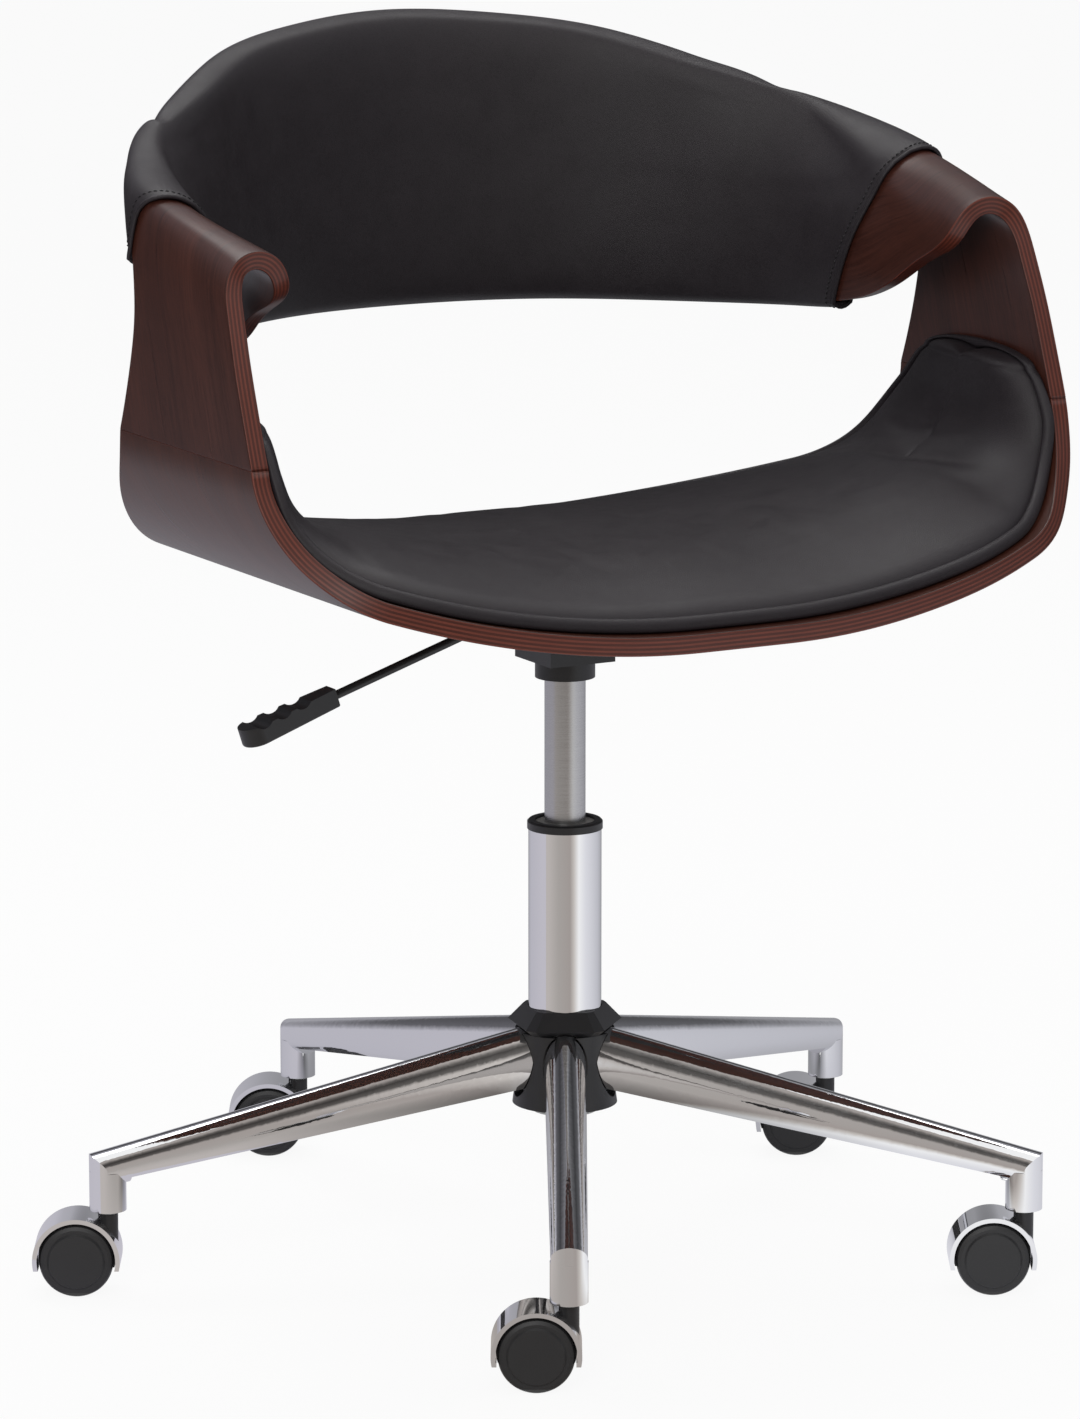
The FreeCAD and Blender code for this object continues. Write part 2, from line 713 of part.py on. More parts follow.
def make_housing():
    """Cast housing: box, round boss, lever slot and pivot holes."""
    top = "shell_underside - plate_thickness"
    box = block(
        "housing_width",
        "housing_depth",
        top + " - housing_bottom",
        x="-housing_width / 2",
        y="-housing_depth / 2",
        z="housing_bottom",
    )
    boss = cylinder("boss_dia / 2", "housing_bottom + housing_wall - boss_bottom", z="boss_bottom")
    cavity = block(
        "housing_width - 2 * housing_wall",
        "housing_depth - 2 * housing_wall",
        top + " - cylinder_top + overrun",
        x="housing_wall - housing_width / 2",
        y="housing_wall - housing_depth / 2",
        z="cylinder_top",
    )
    taper = cone(
        "cylinder_dia / 2",
        "cylinder_top_dia / 2",
        "cylinder_top - cylinder_taper_start",
        z="cylinder_taper_start",
    )
    slot = block(
        "housing_wall + 2 * overrun",
        "lever_dia + 2 * overrun",
        top + " - pivot_rise + lever_dia / 2 + overrun",
        x="-housing_width / 2 - overrun",
        y="-lever_dia / 2 - overrun",
        z="pivot_rise - lever_dia / 2 - overrun",
    )
    pin_hole = cylinder(
        "pivot_pin_dia / 2",
        "housing_depth + 2 * overrun",
        x="-pivot_back",
        y="housing_depth / 2 + overrun",
        z="pivot_rise",
        axis=Vector(0, -1, 0),
    )
    return node(cut(fuse(box, boss), cavity, taper, slot, pin_hole), "mechanism_housing")


def make_plate():
    """Steel plate that bolts under the shell."""
    body = block(
        "plate_width",
        "plate_depth",
        "plate_thickness",
        x="-plate_width / 2",
        y="-plate_depth / 2",
        z="shell_underside - plate_thickness",
    )
    rounded = doc.addObject("Part::Fillet", "rounded")
    rounded.Base = body
    doc.recompute()
    upright = [
        number
        for number, edge in enumerate(body.Shape.Edges, start=1)
        if abs(edge.BoundBox.ZLength - edge.Length) < size("gap") / 10
    ]
    rounded.Edges = [(number, size("plate_corner"), size("plate_corner")) for number in upright]
    return node(cut(rounded, bolts_at("bolt_dia / 2 + gap")), "mount_plate")


def bolt_places():
    """The four bolt positions, as sheet expressions."""
    return [
        ("%s * bolt_across / 2" % side, "%s * bolt_along / 2" % end)
        for side in (-1, 1)
        for end in (-1, 1)
    ]


def shell_rise_at_bolt():
    """How far the shell's underside has risen at the bolts."""
    out = size("bolt_across") / 2 - size("shell_flat")
    return size("shell_sweep") - math.sqrt(size("shell_sweep") ** 2 - out**2)


def bolts_at(radius):
    """Plain rods through the plate and the shell at the four places."""
    length = "ply + plate_thickness + 4 * overrun"
    start = "shell_underside - plate_thickness - overrun"
    return group(*[cylinder(radius, length, x, y, start) for x, y in bolt_places()])


def nut_top():
    """Height of the tee nuts' upper face, level with the shell's inner face."""
    return "shell_underside + ply + %s - 2 * gap" % shell_rise_at_bolt()


def make_bolts():
    """Hexagon-head bolts and the tee nuts that they screw into."""
    bolts = []
    nuts = []
    for x, y in bolt_places():
        head = doc.addObject("Part::Prism", "head")
        head.Polygon = 6
        bind(head, Circumradius="bolt_head_dia / 2", Height="bolt_head_height")
        placed(head, x, y, "shell_underside - plate_thickness - bolt_head_height")
        shank = cylinder(
            "bolt_dia / 2",
            "ply + plate_thickness + overrun / 2",
            x,
            y,
            "shell_underside - plate_thickness - overrun / 2",
        )
        bolts.append(fuse(head, shank))
        flange_low = nut_top() + " - nut_flange_height"
        barrel_low = nut_top() + " - nut_barrel_length"
        flange = cylinder("nut_flange_dia / 2", "nut_flange_height", x, y, flange_low)
        barrel = cylinder("nut_barrel_dia / 2", "nut_barrel_length", x, y, barrel_low)
        thread_length = "nut_barrel_length + 2 * overrun"
        thread = cylinder("bolt_dia / 2", thread_length, x, y, barrel_low + " - overrun")
        nuts.append(cut(fuse(flange, barrel), thread))
    node(group(*bolts), "plate_bolts")
    node(group(*nuts), "tee_nuts")


def nut_pockets():
    """Holes in the shell for the bolts and the tee nuts."""
    shapes = (
        ("bolt_dia / 2 + gap", "ply + 4 * overrun", "shell_underside - overrun"),
        ("nut_barrel_dia / 2", "nut_barrel_length + overrun", nut_top() + " - nut_barrel_length"),
        ("nut_flange_dia / 2", "nut_flange_height + overrun * 2", nut_top() + " - nut_flange_height"),
    )
    holes = [
        cylinder(radius, length, x, y, start)
        for x, y in bolt_places()
        for radius, length, start in shapes
    ]
    return group(*holes)


# Lever

def make_lever():
    """Bent lever rod with its pivot eye, and the grip on its end."""
    droop = math.radians(size("lever_slope"))
    down = Vector(-math.cos(droop), 0, -math.sin(droop))
    inner = cylinder(
        "lever_dia / 2",
        "lever_inner + lever_straight",
        x="lever_inner - pivot_back",
        z="pivot_rise",
        axis=Vector(-1, 0, 0),
    )
    bend = doc.addObject("Part::Sphere", "bend")
    bind(bend, Radius="lever_dia / 2")
    placed(bend, x="-pivot_back - lever_straight", z="pivot_rise")
    run = cylinder(
        "lever_dia / 2", "lever_run", x="-pivot_back - lever_straight", z="pivot_rise", axis=down
    )
    eye = cylinder(
        "pivot_eye_dia / 2",
        "pivot_eye_width",
        x="-pivot_back",
        y="pivot_eye_width / 2",
        z="pivot_rise",
        axis=Vector(0, -1, 0),
    )
    pin_bore = cylinder(
        "pivot_pin_dia / 2 + running_clearance",
        "pivot_eye_width + 2 * overrun",
        x="-pivot_back",
        y="pivot_eye_width / 2 + overrun",
        z="pivot_rise",
        axis=Vector(0, -1, 0),
    )
    node(cut(fuse(inner, bend, run, eye), pin_bore), "lever_rod")
    pin = cylinder(
        "pivot_pin_dia / 2",
        "housing_depth",
        x="-pivot_back",
        y="housing_depth / 2",
        z="pivot_rise",
        axis=Vector(0, -1, 0),
    )
    node(pin, "lever_pin")
    node(formed(grip_shape(down)), "lever_grip")


def grip_shape(down):
    """Moulded paddle: tapered plan, round tip and finger notches below."""
    length, height = size("grip_length"), size("grip_height")
    root, tip = size("grip_root_width") / 2, size("grip_tip_width") / 2
    shoulder = length - tip
    top = height / 2
    right, nose, left = [Vector(x, y, -top) for x, y in ((shoulder, -tip), (length, 0), (shoulder, tip))]
    plan = Part.Wire([
        Part.makeLine(Vector(0, -root, -top), right),
        Part.Arc(right, nose, left).toShape(),
        Part.makeLine(left, Vector(0, root, -top)),
        Part.makeLine(Vector(0, root, -top), Vector(0, -root, -top)),
    ])
    body = Part.Face(plan).extrude(Vector(0, 0, height))
    radius = size("grip_notch_dia") / 2
    for share in notch_shares:
        centre = Vector(length * share, -tip - radius, -top - radius + size("grip_notch_depth"))
        notch = Part.makeCylinder(radius, 2 * (tip + radius), centre, Y)
        body = body.cut(notch)
    ends = [edge for edge in body.Edges if edge.BoundBox.ZMin > top - size("gap")]
    body = body.makeFillet(height / 8, ends)
    rod = size("lever_dia") / 2
    bore = Part.makeCylinder(rod, size("grip_overlap") + size("overrun"), Vector(-size("overrun"), 0, 0), X)
    body = body.cut(bore)
    start = Vector(-size("pivot_back") - size("lever_straight"), 0, size("pivot_rise"))
    start = start + down * (size("lever_run") - size("grip_overlap"))
    body.Placement = Placement(start, Rotation(X, down))
    return body


# Casters

def make_caster(index):
    """One twin-wheel caster; its own +X is the trail, and it stands at a leg's tip."""
    number = index + 1
    wheel_radius = "wheel_dia / 2"
    half_web = "web_thickness / 2"

    def across(radius, width, start, x="trail"):
        return cylinder(radius, width, x=x, y=start, z=wheel_radius, axis=Y)

    def wide_block(height, low):
        return block("wheel_dia * 2", "wheel_dia", height, "-wheel_dia / 2", "-wheel_dia / 2", low)

    web = common(
        across("web_dia / 2", "web_thickness", "-" + half_web),
        wide_block("wheel_dia * 2", "web_bottom"),
    )
    neck = cut(
        cylinder("neck_dia / 2", "neck_top - neck_bottom", z="neck_bottom"),
        across("web_dia / 2 - gap", "wheel_dia", "-wheel_dia / 2"),
    )
    stem_hole = cylinder("stem_dia / 2", "stem_top - stem_seat", z="stem_seat")
    axle_hole = across("axle_dia / 2", "web_thickness + 2 * overrun", "-%s - overrun" % half_web)
    frame_piece = cut(fuse(web, neck), stem_hole, axle_hole)
    hood = cut(
        across("hood_dia / 2", "hood_depth", "-hood_depth / 2"),
        across("hood_bore / 2", "hood_depth + 2 * overrun", "-hood_depth / 2 - overrun"),
        wide_block("hood_bottom + wheel_dia", "-wheel_dia"),
        cylinder("neck_dia / 2 + gap / 3", "wheel_dia", z="neck_bottom"),
    )
    axle_reach = "web_thickness / 2 + wheel_play + axle_bite"
    axle = across("axle_dia / 2", "2 * (%s)" % axle_reach, "-(%s)" % axle_reach)
    stem = cylinder("stem_dia / 2", "stem_top - stem_seat", z="stem_seat")
    pieces = [(frame_piece, "fork"), (hood, "hood"), (group(stem, axle), "pins")]
    for side, letter in ((1, "a"), (-1, "b")):
        pieces.append((make_wheel(side), "wheel_" + letter))
    x, y = polar("stem_reach", leg_angle_words(index))
    for thing, word in pieces:
        thing.Placement = Placement(Vector(), Rotation(Z, size("trail_angle")))
        bind(thing, Placement__Rotation__Angle="trail_angle")
        placed(thing, x, y)
        node(thing, "caster_%d_%s" % (number, word))


def make_wheel(side):
    """A wheel with a rounded edge, a raised face and a blind axle bore."""
    inner = size("web_thickness") / 2 + size("wheel_play")
    width, radius = size("wheel_width"), size("wheel_dia") / 2
    edge, bevel = size("wheel_edge"), size("wheel_bevel")
    face, rise = size("wheel_face_dia") / 2, size("wheel_face_rise")
    bore = size("axle_dia") / 2 + size("running_clearance")
    blind = size("axle_bite") + size("running_clearance") + size("gap")
    tread = width - rise
    points = [
        Vector(bore, 0, 0),
        Vector(radius, 0, 0),
        Vector(radius, 0, tread - edge),
        Vector(radius - bevel, 0, tread - bevel),
        Vector(radius - edge, 0, tread),
        Vector(face, 0, tread),
        Vector(face - rise, 0, width),
        Vector(0, 0, width),
        Vector(0, 0, blind),
        Vector(bore, 0, blind),
    ]
    outline = Part.makePolygon(points + points[:1])
    wheel = Part.Face(outline).revolve(Vector(), Z, 360)
    wheel.Placement = Placement(Vector(size("trail"), side * inner, radius), Rotation(Z, Vector(0, side, 0)))
    holder = doc.addObject("Part::Compound", "wheel")
    holder.Links = [formed(wheel, "wheel_form")]
    return holder


# Moulded plywood: a strip is a grid of points with a thickness

def smooth_curve(points, stations):
    """A curve through points, at given stations from 0 to 1."""
    curve = Part.BSplineCurve()
    curve.interpolate(Points=points, Parameters=stations)
    return curve


def stations_of(rows):
    """Stations for rows, in step with the distance between their first points."""
    total = [0.0]
    for before, after in zip(rows, rows[1:]):
        total.append(total[-1] + (after[0] - before[0]).Length)
    return [value / total[-1] for value in total]


def ribbon_rows():
    """Four points across the ribbon at each row, both sides of the chair."""
    wide, reach, rise = size("shell_half_width"), size("back_reach"), size("back_rise")
    seam = size("seam_height")

    def real(point):
        return Vector(point[0] * wide, point[1] * reach, seam + point[2] * rise)

    rows = []
    for low, high, bulge in ribbon_shares:
        first, last = real(low), real(high)
        row = [first]
        for third, share in ((1 / 3, bulge[0]), (2 / 3, bulge[1])):
            point = first + (last - first) * third
            outward = Vector(point.x, point.y, 0).normalize()
            row.append(point + outward * share * wide)
        rows.append(row + [last])
    mirrored = [[Vector(-point.x, point.y, point.z) for point in row] for row in rows[-2::-1]]
    return rows + mirrored


def ramp(value, low, high):
    """A smooth rise from 0 to 1 between two values."""
    part = min(max((value - low) / (high - low), 0.0), 1.0)
    return part * part * (3 - 2 * part)


class Ribbon:
    """The arm and back strip: a point and a normal for any station and share."""

    def __init__(self):
        rows = ribbon_rows()
        self.stations = stations_of(rows)
        self.curves = [smooth_curve([row[i] for row in rows], self.stations) for i in range(4)]

    def station(self, row):
        """The station of a row number, which may lie between two rows."""
        low = min(int(row), len(self.stations) - 2)
        part = row - low
        return self.stations[low] * (1 - part) + self.stations[low + 1] * part

    def depth(self, station, share):
        """The ply's thickness, less at the tight bend that the cover hides."""
        if station > 0.5:
            station = 1 - station
        starts, full, fades, ends = [self.station(row) for row in BEND_ROWS]
        bend = ramp(station, starts, full) - ramp(station, fades, ends)
        return size("ply") * (1 - bend_thin_share * bend * ramp(share, *bend_edge_shares))

    def blend(self, values, share):
        """A cubic through four values at the thirds of the strip."""
        weights = []
        for number in range(len(values)):
            weight = 1.0
            for other in range(len(values)):
                if other != number:
                    weight *= (share * (len(values) - 1) - other) / (number - other)
            weights.append(weight)
        total = Vector()
        for value, weight in zip(values, weights):
            total = total + value * weight
        return total

    def point(self, station, share):
        return self.blend([curve.value(station) for curve in self.curves], share)

    def across(self, station, share):
        """Direction from the lower or front edge to the upper or rear one."""
        before, after = share - SMALL_STEP, share + SMALL_STEP
        return (self.point(station, after) - self.point(station, before)).normalize()

    def normal(self, station, share):
        low, high = max(0.0, station - SMALL_STEP), min(1.0, station + SMALL_STEP)
        along = self.point(high, share) - self.point(low, share)
        return along.cross(self.across(station, share)).normalize()


def surface_through(grid, stations, shares):
    """A smooth surface through a grid of points at given parameters."""
    along = [smooth_curve([row[number] for row in grid], stations) for number in range(len(shares))]
    poles = zip(*[curve.getPoles() for curve in along])
    across = [smooth_curve(list(row), shares) for row in poles]
    surface = Part.BSplineSurface()
    surface.buildFromPolesMultsKnots(
        [curve.getPoles() for curve in across],
        along[0].getMultiplicities(),
        across[0].getMultiplicities(),
        along[0].getKnots(),
        across[0].getKnots(),
        False,
        False,
        along[0].Degree,
        across[0].Degree,
    )
    return surface


def straight_between(first, second):
    """The ruled surface between two curves of the same build."""
    surface = Part.BSplineSurface()
    surface.buildFromPolesMultsKnots(
        [list(pair) for pair in zip(first.getPoles(), second.getPoles())],
        first.getMultiplicities(),
        [2, 2],
        first.getKnots(),
        [0.0, 1.0],
        False,
        False,
        first.Degree,
        1,
    )
    return surface


def halves(surface):
    """A surface cut in two at its middle station."""
    parts = []
    for start, end in ((0.0, 0.5), (0.5, 1.0)):
        part = surface.copy()
        part.segment(start, end, 0.0, 1.0)
        parts.append(part)
    return parts


def sewn_solid(faces):
    """The closed solid inside a set of faces that meet edge to edge."""
    shell = Part.makeShell(faces)
    shell.sewShape()
    solid = Part.makeSolid(shell)
    if solid.Volume < 0:
        solid.reverse()
    return solid


def strip_solid(point, normal, stations, shares, outer, inner):
    """A closed solid between two offsets of a strip."""
    surfaces = []
    for offset in (outer, inner):
        grid = [[point(s, v) + normal(s, v) * offset(s, v) for v in shares] for s in stations]
        surfaces.append(surface_through(grid, stations, shares))
    rims = [
        (face.uIso(stations[0]), face.uIso(stations[-1]), face.vIso(shares[0]), face.vIso(shares[-1]))
        for face in surfaces
    ]
    surfaces += [straight_between(first, second) for first, second in zip(*rims)]
    return sewn_solid([surface.toShape() for surface in surfaces])


def evenly(low, high, count):
    """Evenly spaced values, both ends included."""
    return [low + (high - low) * index / (count - 1) for index in range(count)]


ribbon = Ribbon()
ply = size("ply")


def flat_offset(value):
    return lambda station, share: value


def ribbon_piece(first_row, last_row, count):
    """A length of the bare plywood ribbon."""
    stations = evenly(ribbon.station(first_row), ribbon.station(last_row), count)
    shares = evenly(0.0, 1.0, RIBBON_LINES)
    outer = flat_offset(0.0)
    return strip_solid(ribbon.point, ribbon.normal, stations, shares, outer, ribbon.depth)


def mouth_station(share):
    """The station at which the cover's sloping mouth crosses the ribbon."""
    slope = size("mouth_high_back") - size("mouth_low_back")
    slope = slope / (size("mouth_high") - size("mouth_low"))
    low, high = [ribbon.station(row) for row in MOUTH_ROWS]
    for _ in range(HALVINGS):
        middle = (low + high) / 2
        spot = ribbon.point(middle, share)
        if spot.y > size("mouth_low_back") + slope * (spot.z - size("mouth_low")):
            high = middle
        else:
            low = middle
    return low


def crowded_shares(steps, crowding_share):
    """Shares from 0 to 1 that lie closer together at both ends."""
    turns = [2 * math.pi * index / steps for index in range(steps + 1)]
    return [(turn - crowding_share * math.sin(turn)) / (2 * math.pi) for turn in turns]


def cover_surface(places, margin, offset):
    """One face of the back's cover, from mouth to mouth."""
    grid = []
    starts = [mouth_station(place) for place in places]
    runs = crowded_shares(COVER_STEPS, mouth_crowding_share)
    depth = size("back_rise")
    for run in runs:
        row = []
        for place, start in zip(places, starts):
            station = start + (1 - 2 * start) * run
            wanted = place * (1 + 2 * margin / depth) - margin / depth
            share = min(max(wanted, 0.0), 1.0)
            past = ribbon.across(station, share) * (wanted - share) * depth
            lift = offset(run, place, ribbon.depth(station, share))
            row.append(ribbon.point(station, share) + past + ribbon.normal(station, share) * lift)
        grid.append(row)
    return surface_through(grid, runs, places)


def cover_faces(places, margin, front, rear):
    """Front, rear, lower and upper faces of a tube round the ribbon."""
    first = cover_surface(places, margin, front)
    second = cover_surface(places, margin, rear)
    edges = [straight_between(first.vIso(end), second.vIso(end)) for end in (0.0, 1.0)]
    return [first, second] + edges


def back_cover_shape():
    """Stuffed leather sleeve round the back board, open at both arms."""
    edge, crown, rear = size("back_pad_edge"), size("back_pad_crown"), size("back_pad_rear")
    air, leather = size("back_pad_air"), size("back_pad_leather")

    def roll(place):
        return 1 - (1 - cover_edge_share) * abs(2 * place - 1) ** ROLL_POWER

    def front(run, place, board):
        middle = math.sin(math.pi * run) ** 2
        across = 1 - (2 * place - 1) ** 2
        return -edge * roll(place) - (crown - edge) * middle * across

    def back(run, place, board):
        full = 1 - rear_thin_share * (1 - math.sin(math.pi * run))
        return board + air + leather + (rear - air - leather) * roll(place) * full

    def front_air(run, place, board):
        return -air

    def back_air(run, place, board):
        return board + air

    outer = cover_faces(cover_place_shares, size("back_pad_hem"), front, back)
    inner = cover_faces(cover_place_shares, air, front_air, back_air)
    mouths = [
        straight_between(outside.uIso(end), inside.uIso(end))
        for outside, inside in zip(outer, inner)
        for end in (0.0, 1.0)
    ]
    walls = [half for surface in outer + inner for half in halves(surface)]
    return sewn_solid([surface.toShape() for surface in walls + mouths])


# Seat shell and cushion: an arc profile carried between two edge curves

def profile_at(length):
    """Point and inward normal of the shell's outside, at a length from the middle."""
    flat, sweep, corner = size("shell_flat"), size("shell_sweep"), size("shell_corner")
    low, wide = size("shell_underside"), size("shell_half_width")
    # The corner arc ends upright at the panel and starts where the sweep ends
    lean = math.asin((wide - flat - corner) / (sweep - corner))
    first, second = flat, flat + sweep * lean
    third = second + corner * (math.pi / 2 - lean)
    side = -1 if length < 0 else 1
    run = abs(length)
    if run <= first:
        x, z, angle = run, low, 0.0
    elif run <= second:
        angle = (run - first) / sweep
        x, z = flat + sweep * math.sin(angle), low + sweep * (1 - math.cos(angle))
    elif run <= third:
        angle = lean + (run - second) / corner
        x = flat + (sweep - corner) * math.sin(lean) + corner * math.sin(angle)
        z = low + sweep * (1 - math.cos(lean)) + corner * (math.cos(lean) - math.cos(angle))
    else:
        angle = math.pi / 2
        x = wide
        z = low + sweep * (1 - math.cos(lean)) + corner * math.cos(lean) + run - third
    return Vector(side * x, 0, z), Vector(-side * math.sin(angle), 0, math.cos(angle))


def length_at_height(height):
    """Length along the profile at which the upright panel reaches a height."""
    reach = size("shell_half_width") + size("shell_corner")
    end, _ = profile_at(reach)
    return reach + height - end.z


def edge_curve(shares, column):
    """Share of the profile to distance along Y, for both sides of the seat."""
    half = [(row[0], row[column]) for row in shares]
    both = [(-place, value) for place, value in reversed(half[1:])] + half
    low, high = both[0][0], both[-1][0]
    points = [Vector(place, value, 0) for place, value in both]
    curve = smooth_curve(points, [(place - low) / (high - low) for place, _ in both])

    def value_at(place):
        return curve.value((place - low) / (high - low)).y * size("seat_front")

    return value_at


def seat_shell_shape():
    """The lower U of the shell, from seam to seam."""
    full = length_at_height(size("seam_height"))
    front, rear = edge_curve(seat_edge_shares, 1), edge_curve(seat_edge_shares, 2)

    def point(station, share):
        place = 2 * station - 1
        base, _ = profile_at(place * full)
        start, stop = front(place), rear(place)
        return base + Y * (start + (stop - start) * share)

    def normal(station, share):
        return profile_at((2 * station - 1) * full)[1]

    stations, shares = evenly(0.0, 1.0, SHELL_STATIONS), evenly(0.0, 1.0, SHELL_LINES)
    return strip_solid(point, normal, stations, shares, flat_offset(0.0), flat_offset(ply))


def cushion_lines(place, full, front, rear, fade):
    """Points across the seat cushion: front border, crown and rear border."""
    base, up = profile_at(place * full)
    start = base + up * (ply + size("pad_air"))
    edge = size("pad_edge") * (wing_edge_share + (1 - wing_edge_share) * fade)
    crown = size("pad_edge") + (size("pad_crown") - size("pad_edge")) * fade
    border = size("pad_border") * (wing_border_share + (1 - wing_border_share) * fade)
    tuck = size("pad_tuck")
    seam = edge - size("pad_seam_depth")
    middle, half = (front + rear) / 2, (rear - front) / 2

    def at(along, height):
        return start + Y * along + up * height

    # The border bulges out above its tucked foot and dips at the seam
    outline = (
        (tuck, 0),
        (0, edge / 2),
        (tuck / 2, edge),
        (border * border_round_share, edge + tuck / 3),
        (border, seam),
    )
    first = [at(front + inward, height) for inward, height in outline]
    last = [at(rear - inward, height) for inward, height in reversed(outline)]
    top = []
    for across in crown_place_shares:
        fullness = (1 - abs(across) ** CROWN_POWER) * (1 - crown_lean_share * across)
        height = seam + (crown - seam) * fullness
        top.append(at(middle + across * (half - border), height))
    return first, top, last


def seat_cushion_shape():
    """Crowned seat cushion with a stitched border, rising up both panels."""
    full = length_at_height(size("seam_height"))
    front, rear = edge_curve(wing_shares, 1), edge_curve(wing_shares, 2)
    end = length_at_height(size("seam_height") + size("wing_rise")) / full
    scale = wing_shares[-1][0] / end
    stations = evenly(0.0, 1.0, CUSHION_STATIONS)
    rows = []
    for station in stations:
        place = end * (2 * station - 1)
        fade = 1 - abs(2 * station - 1) ** FADE_POWER
        rows.append(cushion_lines(place, full, front(place * scale), rear(place * scale), fade))
    crown = [(across + 1) / 2 for across in crown_place_shares]
    top = surface_through([row[1] for row in rows], stations, crown)
    count = len(rows[0][0])
    lines = [
        [smooth_curve([row[side][number] for row in rows], stations) for number in range(count)]
        for side in (0, 2)
    ]
    # The border's last line is the crown's own edge, so that the two meet
    lines[0][-1], lines[1][0] = top.vIso(0.0), top.vIso(1.0)
    faces = [top]
    for border in lines:
        faces += [straight_between(before, after) for before, after in zip(border, border[1:])]
    faces.append(straight_between(lines[1][-1], lines[0][0]))
    caps = []
    for side in (0.0, 1.0):
        edges = [face.uIso(side).toShape() for face in faces]
        caps.append(Part.Face(Part.Wire(Part.__sortEdges__(edges))))
    walls = [half for face in faces for half in halves(face)]
    return sewn_solid([face.toShape() for face in walls] + caps)


def make_shell():
    """All plywood and upholstery."""
    node(cut(formed(seat_shell_shape()), nut_pockets()), "seat_shell")
    start, end = ARM_ROWS
    last = len(ribbon.stations) - 1
    node(formed(ribbon_piece(start, end, ARM_STATIONS)), "arm_left")
    node(formed(ribbon_piece(last - end, last - start, ARM_STATIONS)), "arm_right")
    node(formed(ribbon_piece(end, last - end, BOARD_STATIONS)), "back_board")
    node(formed(back_cover_shape()), "back_cushion")
    node(formed(seat_cushion_shape()), "seat_cushion")


def check():
    """Stops where an object failed or a sub-part is not a sound solid."""
    doc.recompute()
    for thing in doc.Objects:
        if "Invalid" in thing.State or "Error" in thing.State:
            raise RuntimeError("failed object: %s %s" % (thing.Name, thing.Label))
    bad = [
        thing.Label
        for thing in NODES
        if thing.Shape.isNull() or not thing.Shape.isValid() or not thing.Shape.Solids
    ]
    if bad:
        raise RuntimeError("bad shapes: " + ", ".join(bad))


def main():
    for index in range(5):
        make_leg(index)
    make_sleeves()
    make_hub_core()
    make_hub_cover()
    make_base_cap()
    make_column()
    make_column_ring()
    make_bush()
    make_bearing()
    make_rod_parts()
    make_lift_cylinder()
    make_housing()
    make_plate()
    make_bolts()
    make_lever()
    for index in range(5):
        make_caster(index)
    make_shell()
    check()
    os.makedirs("parts", exist_ok=True)
    for thing in NODES:
        thing.Shape.exportStep("parts/%s.step" % thing.Label)
        box = thing.Shape.BoundBox
        print(
            "%-22s solids %d volume %.0f z %.1f..%.1f"
            % (thing.Label, len(thing.Shape.Solids), thing.Shape.Volume, box.ZMin, box.ZMax)
        )
    print(len(NODES), "sub-parts")


main()
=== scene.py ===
import json
import math

import bmesh
import bpy
import numpy as np
from mathutils import Matrix, Vector, noise

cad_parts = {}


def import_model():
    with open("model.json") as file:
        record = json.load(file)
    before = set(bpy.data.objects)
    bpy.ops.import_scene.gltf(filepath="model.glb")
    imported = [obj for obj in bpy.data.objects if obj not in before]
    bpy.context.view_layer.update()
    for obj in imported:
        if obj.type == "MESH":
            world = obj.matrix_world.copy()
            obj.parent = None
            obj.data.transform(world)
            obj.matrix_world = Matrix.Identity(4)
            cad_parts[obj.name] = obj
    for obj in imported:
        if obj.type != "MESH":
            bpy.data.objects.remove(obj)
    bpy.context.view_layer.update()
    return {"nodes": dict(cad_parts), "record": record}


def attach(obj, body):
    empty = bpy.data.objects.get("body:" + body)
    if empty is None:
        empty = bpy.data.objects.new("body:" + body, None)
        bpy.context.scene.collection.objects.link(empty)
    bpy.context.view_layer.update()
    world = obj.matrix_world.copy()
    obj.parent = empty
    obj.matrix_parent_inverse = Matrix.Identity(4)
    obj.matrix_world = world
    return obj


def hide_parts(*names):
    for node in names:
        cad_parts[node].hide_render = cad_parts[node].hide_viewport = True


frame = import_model()
NODES = frame["nodes"]

# A bentwood swivel chair. Metres, +Z up, the sitter faces -Y, the origin is
# on the floor under the column. Lengths named here are millimetres, and the rows
# of the tables hold shares of them; Blender's own objects are in metres.

MM = 0.001
PLY = 12.5  # thickness of the plywood
HALF_WIDTH = 308.5
UNDERSIDE = 463.0  # height of the shell's lowest line
FLAT = 30.0  # half of the level middle of the U
SWEEP = 700.0  # radius under the sitter
CORNER = 94.0  # radius between the seat and the upright panels
SEAM = 590.0  # height at which the shell meets the arm ribbon
WING_TOP = 618.0  # height that the seat cushion climbs to
SEAT_FRONT = 240.0
RISE = 238.0  # ribbon above the seam
REACH = 247.0  # ribbon behind the column

